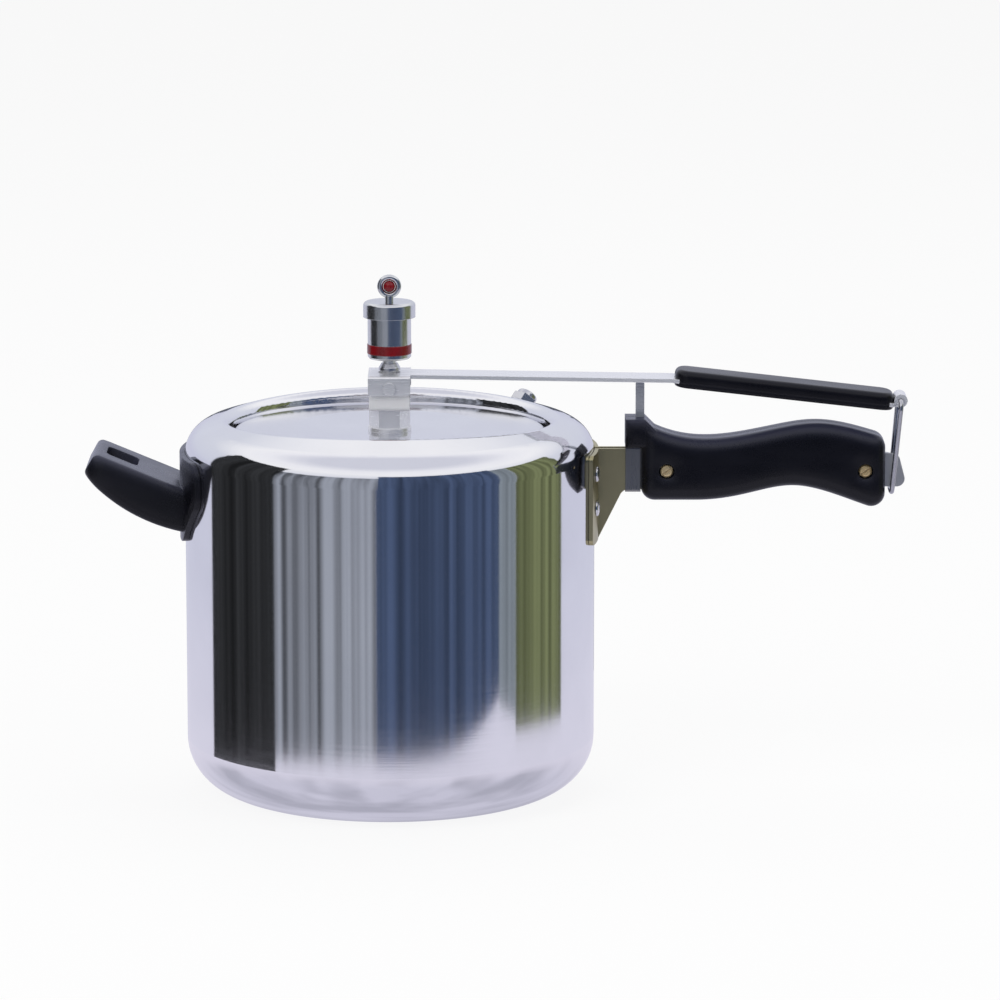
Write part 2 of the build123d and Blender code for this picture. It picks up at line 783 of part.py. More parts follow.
# Lid lever: a steel strip, folded over the bracket at one end and rolled into an eye at the other
saddle_inner = bracket_half_width + lever_side_gap
saddle_half_width = saddle_inner + lever_sheet
ear_bottom = pivot_z - lever_ear_drop
bar_end_x = lever_bend_x + eye_run * grip_cos
bar_end_z = lever_bend_z - eye_run * grip_sin
with BuildPart() as lid_lever:
    with BuildSketch(Plane.XY.offset(ear_bottom)):
        Rectangle(2 * lever_half_length, 2 * saddle_half_width)
    extrude(amount=lever_top - ear_bottom)
    fillet(lid_lever.edges().filter_by(Axis.X).group_by(Axis.Z)[-1], bend_radius)
    with BuildSketch(Plane.XY.offset(ear_bottom)):
        Rectangle(4 * lever_half_length, 2 * saddle_inner)
    extrude(amount=lever_top - lever_sheet - ear_bottom, mode=Mode.SUBTRACT)
    fillet(lid_lever.edges().filter_by(Axis.Y).group_by(Axis.Z)[0], bend_radius)
    with BuildSketch(Plane.XZ):
        with BuildLine():
            Polyline(
                (0, lever_mid),
                (lever_half_length, lever_mid),
                (lever_bend_x, lever_bend_z),
                (bar_end_x, bar_end_z),
            )
        trace(line_width=lever_sheet)
    extrude(amount=lever_width / 2, both=True)
    with BuildSketch(Plane.XZ):
        with Locations((eye_x, eye_z)):
            Circle(eye_outer_radius)
    extrude(amount=eye_width / 2, both=True)
    with BuildSketch(Plane.XZ):
        with Locations((eye_x, eye_z)):
            Circle(wire_radius + wire_fit)
    extrude(amount=lever_width, both=True, mode=Mode.SUBTRACT)
    with BuildSketch(grip_plane):
        with Locations((eye_run, lever_width / 2), (eye_run, -lever_width / 2)):
            Rectangle(2 * eye_past_grip, lever_width - eye_width)
    extrude(amount=2 * lever_sheet, both=True, mode=Mode.SUBTRACT)
    with BuildSketch(Plane.XY.offset(lever_top)):
        Circle(vent_tube_radius + lever_hole_gap)
    extrude(amount=2 * lever_sheet, both=True, mode=Mode.SUBTRACT)
    with BuildSketch(Plane.XZ):
        with Locations((0, pivot_z)):
            Circle(pivot_radius + pivot_seat_fit)
    extrude(amount=2 * saddle_half_width, both=True, mode=Mode.SUBTRACT)
    with BuildSketch(grip_plane):
        with Locations((grip_screw_first, 0), (grip_screw_last, 0)):
            Circle(grip_screw_radius + screw_fit)
    extrude(amount=2 * lever_sheet, both=True, mode=Mode.SUBTRACT)
write(lid_lever.part, "lid_lever")

with BuildPart() as pivot_rivets:
    for side_sign in (-1, 1):
        with BuildSketch(Plane.XZ.offset(side_sign * (ear_inner - lever_side_gap))):
            with Locations((0, pivot_z)):
                Circle(pivot_radius)
        extrude(amount=side_sign * (saddle_half_width - ear_inner + lever_side_gap))
        with BuildSketch(Plane.XZ.offset(side_sign * saddle_half_width)):
            with Locations((0, pivot_z)):
                Circle(pivot_head_radius)
        extrude(amount=side_sign * pivot_head_height)
        with BuildSketch(Plane.XZ.offset(side_sign * (ear_inner - lever_side_gap))):
            with Locations((0, pivot_z)):
                Circle(pivot_head_radius)
        extrude(amount=-side_sign * pivot_head_height)
write(pivot_rivets.part, "pivot_rivets")

# Grip on the lever: two mouldings clamped on the strip from above and below
grip_centre = grip_offset + grip_length / 2
slot_width = lever_width + 2 * grip_fit
slot_half = lever_sheet / 2 + grip_fit
with BuildPart() as lid_grip_upper:
    with BuildSketch(grip_plane):
        with Locations((grip_centre, 0)):
            RectangleRounded(grip_length, grip_width, grip_corner)
    extrude(amount=grip_above)
    fillet(lid_grip_upper.faces().sort_by(grip_axis)[-1].edges(), grip_round_top)
    with BuildSketch(grip_plane):
        with Locations((grip_centre, 0)):
            Rectangle(2 * grip_length, slot_width)
    extrude(amount=slot_half, mode=Mode.SUBTRACT)
    with BuildSketch(grip_plane):
        with Locations((grip_screw_first, 0), (grip_screw_last, 0)):
            Circle(grip_screw_radius + screw_fit)
    extrude(amount=grip_screw_reach + screw_fit, mode=Mode.SUBTRACT)
write(lid_grip_upper.part, "lid_grip_upper")

with BuildPart() as lid_grip_lower:
    with BuildSketch(grip_plane):
        with Locations((grip_centre, 0)):
            RectangleRounded(grip_length, grip_width, grip_corner)
    extrude(amount=-grip_below)
    fillet(lid_grip_lower.faces().sort_by(grip_axis)[0].edges(), grip_round_bottom)
    with BuildSketch(grip_plane):
        with Locations((grip_centre, 0)):
            Rectangle(2 * grip_length, slot_width)
    extrude(amount=-slot_half, mode=Mode.SUBTRACT)
    with BuildSketch(grip_plane.offset(-grip_below)):
        with Locations((grip_screw_first, 0), (grip_screw_last, 0)):
            Circle(grip_screw_head_radius + screw_fit)
    extrude(amount=grip_screw_head_height, mode=Mode.SUBTRACT)
    with BuildSketch(grip_plane.offset(-grip_below)):
        with Locations((grip_screw_first, 0), (grip_screw_last, 0)):
            Circle(grip_screw_radius + screw_fit)
    extrude(amount=grip_below, mode=Mode.SUBTRACT)
write(lid_grip_lower.part, "lid_grip_lower")

with BuildPart() as grip_screws:
    with BuildSketch(grip_plane.offset(-grip_below)):
        with Locations((grip_screw_first, 0), (grip_screw_last, 0)):
            Circle(grip_screw_head_radius)
            Rectangle(4 * grip_screw_head_radius, grip_screw_slot_width, mode=Mode.SUBTRACT)
    extrude(amount=grip_screw_slot_depth)
    with BuildSketch(grip_plane.offset(grip_screw_slot_depth - grip_below)):
        with Locations((grip_screw_first, 0), (grip_screw_last, 0)):
            Circle(grip_screw_head_radius)
    extrude(amount=grip_screw_head_height - grip_screw_slot_depth)
    with BuildSketch(grip_plane.offset(grip_screw_slot_depth - grip_below)):
        with Locations((grip_screw_first, 0), (grip_screw_last, 0)):
            Circle(grip_screw_radius)
    extrude(amount=grip_below - grip_screw_slot_depth + grip_screw_reach)
write(grip_screws.part, "grip_screws")

# Locking loop: one closed ring of wire through the lever's eye, reaching under the catch
loop_sin = math.sin(math.radians(loop_tilt))
loop_cos = math.cos(math.radians(loop_tilt))
loop_plane = Plane(
    origin=(eye_x, 0, eye_z),
    x_dir=(0, 1, 0),
    z_dir=(loop_cos, 0, -loop_sin),
)
with BuildPart() as locking_loop:
    with BuildLine(loop_plane) as loop_path:
        FilletPolyline(
            (0, 0),
            (loop_half_top, 0),
            (loop_half_bottom, -loop_height),
            (-loop_half_bottom, -loop_height),
            (-loop_half_top, 0),
            (0, 0),
            radius=[0, loop_corner, loop_corner, loop_corner, loop_corner],
        )
    with BuildSketch(Plane(origin=(eye_x, 0, eye_z), z_dir=(0, 1, 0))):
        Circle(wire_radius)
    sweep(path=loop_path.wires()[0])
write(locking_loop.part, "locking_loop")

# Bracket plates of the long handle, riveted to the pot on either side of the handle bar
plate_inner = bar_thickness / 2
plate_outer = plate_inner + plate_sheet
plate_wall_radius = pot_radius + plate_fit
for plate_side, plate_name in ((-1, "handle_bracket_front"), (1, "handle_bracket_rear")):
    with BuildPart() as bracket_plate:
        with BuildSketch(Plane.XZ.offset(-plate_side * plate_inner)):
            with BuildLine():
                FilletPolyline(
                    (pot_radius - plate_corner, plate_top_z),
                    (plate_end_x, plate_top_z),
                    (plate_end_x, plate_neck_z),
                    (plate_neck_x, plate_neck_z),
                    (pot_radius + plate_sheet, plate_foot_z),
                    (pot_radius - plate_corner, plate_foot_z),
                    radius=[0, 0, plate_corner, 0],
                )
                Line((pot_radius - plate_corner, plate_foot_z), (pot_radius - plate_corner, plate_top_z))
            make_face()
        extrude(amount=-plate_side * plate_sheet)
        with BuildSketch(Plane.YZ):
            flange_middle = plate_side * (plate_inner + plate_flange_half_width) / 2
            flange_height = plate_top_z - plate_foot_z
            flange_width = plate_flange_half_width - plate_inner
            with Locations((flange_middle, plate_foot_z + flange_height / 2)):
                RectangleRounded(flange_width, flange_height, plate_corner - plate_sheet)
        extrude(amount=pot_radius + plate_sheet + plate_fit)
        with BuildSketch(Plane.XY):
            Circle(plate_wall_radius)
        extrude(amount=2 * wall_height, mode=Mode.SUBTRACT)
        with BuildSketch(Plane.XY):
            Circle(2 * pot_radius)
            Circle(plate_wall_radius + plate_sheet, mode=Mode.SUBTRACT)
            with Locations((pot_radius, plate_side * (plate_inner + plate_sheet / 2))):
                Rectangle(pot_radius, plate_sheet, mode=Mode.SUBTRACT)
        extrude(amount=2 * wall_height, mode=Mode.SUBTRACT)
        for place in plate_rivet_planes:
            with BuildSketch(place):
                Circle(rivet_radius + rivet_fit)
            extrude(amount=2 * plate_sheet, mode=Mode.SUBTRACT)
        with BuildSketch(Plane.XZ):
            with Locations((bar_rivet_x, bar_rivet_z)):
                Circle(rivet_radius + rivet_fit)
        extrude(amount=2 * plate_outer, both=True, mode=Mode.SUBTRACT)
    write(bracket_plate.part, plate_name)

with BuildPart() as bracket_rivets:
    for place in plate_rivet_planes:
        with BuildSketch(place.offset(-pot_wall - rivet_head_height - rivet_fit)):
            Circle(rivet_radius)
        extrude(amount=pot_wall + 2 * rivet_head_height + 2 * rivet_fit + plate_fit + plate_sheet)
        with BuildSketch(place.offset(plate_fit + plate_sheet + rivet_fit)):
            Circle(rivet_head_radius)
        extrude(amount=rivet_head_height)
        with BuildSketch(place.offset(-pot_wall - rivet_fit)):
            Circle(rivet_head_radius)
        extrude(amount=-rivet_head_height)
write(bracket_rivets.part, "bracket_rivets")

with BuildPart() as bar_rivet:
    with BuildSketch(Plane.XZ.offset(-plate_outer - rivet_head_height)):
        with Locations((bar_rivet_x, bar_rivet_z)):
            Circle(rivet_radius)
    extrude(amount=2 * plate_outer + 2 * rivet_head_height)
    for head_sign in (-1, 1):
        with BuildSketch(Plane.XZ.offset(head_sign * plate_outer)):
            with Locations((bar_rivet_x, bar_rivet_z)):
                Circle(rivet_head_radius)
        extrude(amount=head_sign * rivet_head_height)
write(bar_rivet.part, "bar_rivet")

# Handle bar: one stamped plate with the fulcrum finger, the core of the grip and the catch
catch_inner_x = handle_end_x - catch_round
catch_tip_x = handle_end_x + catch_reach
with BuildPart() as handle_bar:
    with BuildSketch(Plane.XZ):
        with BuildLine():
            bar_rise = Polyline(
                (bar_start_x, bar_neck_bottom_z),
                (bar_start_x, bar_neck_top_z),
                (fulcrum_x - fulcrum_radius, bar_neck_top_z),
                (fulcrum_x - fulcrum_radius, fulcrum_z),
            )
            nose = CenterArc((fulcrum_x, fulcrum_z), fulcrum_radius, 180, -180)
            bar_core = Polyline(
                nose @ 1,
                (fulcrum_x + fulcrum_radius, bar_top_z),
                (catch_inner_x - catch_round, bar_top_z),
                (catch_inner_x, catch_top),
            )
            catch_line = FilletPolyline(
                (catch_inner_x, catch_top),
                (catch_tip_x - catch_slope_run, catch_top - catch_round),
                (catch_tip_x, catch_bottom),
                (catch_inner_x, catch_bottom),
                radius=[catch_shoulder_round, catch_tip_round],
            )
            Polyline(
                (catch_inner_x, catch_bottom),
                (catch_inner_x - catch_round, bar_bottom_z),
                (handle_face_x, bar_bottom_z),
                (bar_start_x, bar_neck_bottom_z),
            )
        make_face()
    extrude(amount=bar_thickness / 2, both=True)
    with BuildSketch(Plane.XZ):
        with Locations((screw_front_x, screw_z), (screw_rear_x, screw_z)):
            Circle(screw_radius + screw_fit)
        with Locations((bar_rivet_x, bar_rivet_z)):
            Circle(rivet_radius + rivet_fit)
    extrude(amount=bar_thickness, both=True, mode=Mode.SUBTRACT)
write(handle_bar.part, "handle_bar")

# Collar: a sheet band around the plates, between the pot and the moulded halves
collar_middle_x = (handle_front_x + handle_face_x) / 2
collar_length = handle_face_x - handle_front_x - 2 * collar_fit
collar_opening_half = plate_outer + plate_fit
collar_opening_height = plate_top_z - plate_neck_z + 2 * plate_fit
with BuildPart() as handle_collar:
    with BuildSketch(Plane.YZ.offset(collar_middle_x)):
        with Locations((0, (plate_top_z + plate_neck_z) / 2)):
            RectangleRounded(
                2 * (collar_opening_half + collar_sheet),
                collar_opening_height + 2 * collar_sheet,
                collar_sheet,
            )
            Rectangle(2 * collar_opening_half, collar_opening_height, mode=Mode.SUBTRACT)
    extrude(amount=collar_length / 2, both=True)
    add(handle_bar.part, mode=Mode.SUBTRACT)
write(handle_collar.part, "handle_collar")

# Long handle: two moulded halves closed on the bar, with a swelling for the palm
head_seat = handle_half_width - screw_sink - screw_head_height
nut_seat = handle_half_width - nut_sink - nut_height
slot_middle_x = (handle_front_x + plate_end_x) / 2 + plate_fit
horn_end_x = boss_back_x + horn_run
horn_end_z = boss_top_z - horn_fall
for half_side, half_name in ((-1, "handle_half_front"), (1, "handle_half_rear")):
    with BuildPart() as horn:
        with BuildSketch(Plane.XZ):
            with BuildLine():
                Polyline(
                    (handle_front_x, boss_bottom_z),
                    (handle_front_x, boss_top_z),
                    (boss_back_x, boss_top_z),
                    (horn_end_x, horn_end_z),
                    (horn_end_x, boss_bottom_z),
                    close=True,
                )
            make_face()
        extrude(amount=-half_side * boss_half_width)
        horn_face = horn.faces().sort_by(Axis.Y)[-1 if half_side > 0 else 0]
        fillet(horn_face.edges(), boss_round)
    with BuildPart() as handle_half:
        with BuildSketch(Plane.XZ) as half_outline:
            with BuildLine():
                front_edge = Line((handle_face_x, front_bottom_z), (handle_face_x, brow_z))
                top_edge = Spline(
                    front_edge @ 1,
                    (waist_x, waist_top_z),
                    (palm_x, palm_top_z),
                    (handle_end_x, heel_top_z),
                    tangents=[slope_vector(-brow_fall), slope_vector(-heel_fall)],
                )
                heel_line = Line(top_edge @ 1, (handle_end_x, heel_bottom_z))
                bottom_edge = Spline(
                    heel_line @ 1,
                    (palm_x, palm_bottom_z),
                    (waist_x, front_bottom_z),
                    tangents=[-slope_vector(-belly_rise), -slope_vector(0)],
                )
                Line(bottom_edge @ 1, front_edge @ 0)
            make_face()
            fillet(half_outline.vertices().group_by(Axis.X)[-1], heel_corner)
            fillet(half_outline.vertices().group_by(Axis.X)[0].sort_by(Axis.Y)[0], front_corner)
        extrude(amount=-half_side * handle_half_width)
        outer_face = handle_half.faces().sort_by(Axis.Y)[-1 if half_side > 0 else 0]
        fillet(outer_face.edges(), handle_round)
        add(horn.part)
        add(handle_bar.part, mode=Mode.SUBTRACT)
        with BuildSketch(Plane.XZ):
            with Locations((slot_middle_x, (plate_top_z + plate_neck_z) / 2)):
                Rectangle(plate_end_x - handle_front_x, plate_top_z - plate_neck_z + 2 * plate_fit)
        extrude(amount=-half_side * (plate_outer + plate_fit), mode=Mode.SUBTRACT)
        with BuildSketch(Plane.XZ):
            with Locations((bar_rivet_x, bar_rivet_z)):
                Circle(rivet_head_radius + screw_recess_gap)
        extrude(amount=-half_side * (plate_outer + rivet_head_height + plate_fit), mode=Mode.SUBTRACT)
        with BuildSketch(Plane.XZ):
            with Locations((screw_front_x, screw_z), (screw_rear_x, screw_z)):
                Circle(screw_radius + screw_fit)
        extrude(amount=-half_side * 2 * handle_half_width, mode=Mode.SUBTRACT)
        seat_depth = head_seat if half_side < 0 else nut_seat
        with BuildSketch(Plane.XZ.offset(-half_side * seat_depth)):
            with Locations((screw_front_x, screw_z), (screw_rear_x, screw_z)):
                if half_side < 0:
                    Circle(screw_head_radius + screw_recess_gap)
                else:
                    RegularPolygon(nut_hex / 2 + screw_fit, 6, major_radius=False)
        extrude(amount=-half_side * handle_half_width, mode=Mode.SUBTRACT)
    write(handle_half.part, half_name)

with BuildPart() as handle_screws:
    with BuildSketch(Plane.XZ.offset(head_seat)):
        with Locations((screw_front_x, screw_z), (screw_rear_x, screw_z)):
            Circle(screw_head_radius)
    extrude(amount=screw_head_height)
    fillet(handle_screws.edges().group_by(Axis.Y)[0], screw_head_round)
    with BuildSketch(Plane.XZ.offset(head_seat + screw_head_height)):
        with Locations((screw_front_x, screw_z), (screw_rear_x, screw_z)):
            Rectangle(4 * screw_head_radius, screw_slot_width, rotation=screw_slot_turn)
    extrude(amount=-screw_slot_depth, mode=Mode.SUBTRACT)
    with BuildSketch(Plane.XZ.offset(head_seat)):
        with Locations((screw_front_x, screw_z), (screw_rear_x, screw_z)):
            Circle(screw_radius)
    extrude(amount=-(head_seat + nut_seat + nut_height))
write(handle_screws.part, "handle_screws")

with BuildPart() as handle_nuts:
    with BuildSketch(Plane.XZ.offset(-nut_seat)):
        with Locations((screw_front_x, screw_z), (screw_rear_x, screw_z)):
            RegularPolygon(nut_hex / 2, 6, major_radius=False)
            Circle(screw_radius + screw_fit, mode=Mode.SUBTRACT)
    extrude(amount=-nut_height)
write(handle_nuts.part, "handle_nuts")

# Helper handle: a shield against the pot and a short grip that rises away from it
helper_wall_radius = pot_radius + helper_fit
helper_tan = math.tan(math.radians(helper_slope))
shield_radius = helper_wall_radius + helper_shield_thickness
helper_root_x = -pot_radius + pot_wall
helper_root_top = helper_tip_z - (helper_root_x - helper_end_x) * helper_tan
helper_recess = plate_sheet + rivet_head_height + 4 * helper_fit
helper_screw_seat = tongue_z - helper_screw_seat_depth
pocket_run = pocket_from_tip + pocket_length / 2
helper_cos = math.cos(math.radians(helper_slope))
helper_sin = math.sin(math.radians(helper_slope))
pocket_plane = Plane(
    origin=(helper_end_x + pocket_run * helper_cos, 0, helper_tip_z - pocket_run * helper_sin),
    x_dir=(helper_cos, 0, -helper_sin),
    z_dir=(helper_sin, 0, helper_cos),
)
pocket_axis = Axis(pocket_plane.origin, pocket_plane.z_dir)
with BuildPart() as helper_shield:
    with BuildSketch(Plane.YZ):
        with BuildLine():
            FilletPolyline(
                (-helper_shield_half_width, helper_shield_top_z),
                (helper_shield_half_width, helper_shield_top_z),
                (helper_shield_half_width, tongue_z + helper_knee_above),
                (helper_shield_foot_half_width, helper_shield_foot_z),
                (-helper_shield_foot_half_width, helper_shield_foot_z),
                (-helper_shield_half_width, tongue_z + helper_knee_above),
                radius=helper_shield_corner,
                close=True,
            )
        make_face()
    extrude(amount=-2 * pot_radius)
    with BuildSketch(Plane.XY):
        Circle(shield_radius)
    extrude(amount=2 * wall_height, mode=Mode.INTERSECT)

with BuildPart() as helper_handle:
    with BuildSketch(Plane.XY) as helper_plan:
        with Locations(((helper_end_x + helper_root_x) / 2, 0)):
            Rectangle(helper_root_x - helper_end_x, 2 * helper_half_width)
        fillet(helper_plan.vertices().group_by(Axis.X)[0], helper_side_round)
    extrude(amount=2 * wall_height)
    with BuildSketch(Plane.XZ):
        with BuildLine():
            helper_top = Line(
                (helper_root_x, helper_root_top),
                (helper_end_x + helper_tip_lean, helper_tip_z - helper_tip_lean * helper_tan),
            )
            helper_tip = Line(helper_top @ 1, (helper_end_x, helper_tip_z - helper_tip_depth))
            helper_belly = ThreePointArc(
                helper_tip @ 1,
                (helper_knee_x, helper_knee_z),
                (helper_root_x, helper_root_z),
            )
            Line(helper_belly @ 1, helper_top @ 0)
        make_face()
    extrude(amount=2 * helper_half_width, both=True, mode=Mode.INTERSECT)
    fillet(helper_handle.faces().sort_by(pocket_axis)[-1].edges(), helper_edge_round)
    helper_belly_face = helper_handle.faces().sort_by(pocket_axis)[0]
    fillet(helper_belly_face.edges(), helper_edge_round)
    add(helper_shield.part)
    with BuildSketch(Plane.XY):
        Circle(helper_wall_radius)
    extrude(amount=2 * wall_height, mode=Mode.SUBTRACT)
    with BuildSketch(pocket_plane):
        RectangleRounded(pocket_length, pocket_width, pocket_round)
    extrude(amount=-pocket_depth, mode=Mode.SUBTRACT)
    with BuildSketch(Plane.YZ):
        with Locations((0, (helper_plate_low_z + helper_plate_high_z) / 2)):
            Rectangle(
                2 * (helper_plate_half_width + helper_fit),
                helper_plate_high_z - helper_plate_low_z + 2 * helper_fit,
            )
    extrude(amount=-(pot_radius + helper_recess), mode=Mode.SUBTRACT)
    with BuildSketch(Plane.XY.offset(tongue_z - helper_fit)):
        with Locations((-pot_radius, 0)):
            Rectangle(2 * (tongue_length + helper_recess), 2 * (tongue_half_width + helper_fit))
    extrude(amount=tongue_sheet + 2 * helper_fit, mode=Mode.SUBTRACT)
    with BuildSketch(Plane.XY.offset(helper_screw_seat)):
        with Locations((helper_screw_x, 0)):
            Circle(helper_screw_radius + screw_fit)
    extrude(amount=helper_screw_length + screw_fit, mode=Mode.SUBTRACT)
    with BuildSketch(Plane.XY.offset(helper_screw_seat)):
        with Locations((helper_screw_x, 0)):
            Circle(helper_screw_head_radius + screw_recess_gap)
    extrude(amount=-2 * helper_half_width, mode=Mode.SUBTRACT)
write(helper_handle.part, "helper_handle")

with BuildPart() as helper_bracket:
    with BuildSketch(Plane.YZ):
        with Locations((0, (helper_plate_low_z + helper_plate_high_z) / 2)):
            Rectangle(2 * helper_plate_half_width, helper_plate_high_z - helper_plate_low_z)
    extrude(amount=-2 * pot_radius)
    with BuildSketch(Plane.XY):
        Circle(plate_wall_radius + plate_sheet)
    extrude(amount=2 * wall_height, mode=Mode.INTERSECT)
    with BuildSketch(Plane.XY.offset(tongue_z)):
        with Locations((-pot_radius, 0)):
            Rectangle(2 * tongue_length, 2 * tongue_half_width)
    extrude(amount=tongue_sheet)
    with BuildSketch(Plane.XY):
        Circle(plate_wall_radius)
    extrude(amount=2 * wall_height, mode=Mode.SUBTRACT)
    for place in helper_rivet_planes:
        with BuildSketch(place):
            Circle(rivet_radius + rivet_fit)
        extrude(amount=2 * plate_sheet, mode=Mode.SUBTRACT)
    with BuildSketch(Plane.XY.offset(tongue_z)):
        with Locations((helper_screw_x, 0)):
            Circle(helper_screw_radius + screw_fit)
    extrude(amount=tongue_sheet, mode=Mode.SUBTRACT)
write(helper_bracket.part, "helper_bracket")

with BuildPart() as helper_rivets:
    for place in helper_rivet_planes:
        with BuildSketch(place.offset(-pot_wall - rivet_head_height - rivet_fit)):
            Circle(rivet_radius)
        extrude(amount=pot_wall + 2 * rivet_head_height + 2 * rivet_fit + plate_fit + plate_sheet)
        with BuildSketch(place.offset(plate_fit + plate_sheet + rivet_fit)):
            Circle(rivet_head_radius)
        extrude(amount=rivet_head_height)
        with BuildSketch(place.offset(-pot_wall - rivet_fit)):
            Circle(rivet_head_radius)
        extrude(amount=-rivet_head_height)
write(helper_rivets.part, "helper_rivets")

with BuildPart() as helper_screw:
    with BuildSketch(Plane.XY.offset(helper_screw_seat)):
        with Locations((helper_screw_x, 0)):
            Circle(helper_screw_radius)
    extrude(amount=helper_screw_length)
    with BuildSketch(Plane.XY.offset(helper_screw_seat)):
        with Locations((helper_screw_x, 0)):
            Circle(helper_screw_head_radius)
    extrude(amount=-helper_screw_head_height)
write(helper_screw.part, "helper_screw")
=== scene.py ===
"""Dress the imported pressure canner: finishes, bracket rivets, studio and camera."""

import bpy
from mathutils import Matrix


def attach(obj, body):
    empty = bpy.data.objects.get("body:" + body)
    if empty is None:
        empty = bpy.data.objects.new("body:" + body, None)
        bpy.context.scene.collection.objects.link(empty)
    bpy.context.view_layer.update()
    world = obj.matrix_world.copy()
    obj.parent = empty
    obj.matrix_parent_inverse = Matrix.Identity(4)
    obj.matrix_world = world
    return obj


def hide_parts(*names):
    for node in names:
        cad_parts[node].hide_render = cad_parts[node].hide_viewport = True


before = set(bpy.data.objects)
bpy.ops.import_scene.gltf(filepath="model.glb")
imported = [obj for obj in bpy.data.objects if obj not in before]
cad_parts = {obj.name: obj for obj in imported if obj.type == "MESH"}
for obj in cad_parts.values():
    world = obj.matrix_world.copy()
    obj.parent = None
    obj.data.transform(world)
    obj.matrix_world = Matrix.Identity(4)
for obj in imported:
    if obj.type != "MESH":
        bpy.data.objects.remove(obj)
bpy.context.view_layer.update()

import logging
import math
from dataclasses import dataclass, field
from enum import Enum

import bpy
from mathutils import Matrix, Vector

LOG = logging.getLogger("pressure_canner")

MIX_FACTOR, MIX_FIRST, MIX_SECOND, MIX_RESULT = 0, 6, 7, 2
EDGE_SAMPLES = 6
EDGE_TURN = (0.72, 0.985)
NOISE_DETAIL = 2.0
WHITE = (1.0, 1.0, 1.0)

Colour = tuple[float, float, float]
Point = tuple[float, float, float]
Span = tuple[float, float]
Socket = bpy.types.NodeSocket


class Grain(Enum):
    """Way that the fine lines of a metal run."""

    ROUND = "round the upright axis"
    LENGTH = "along the handle"
    HEIGHT = "up and down"


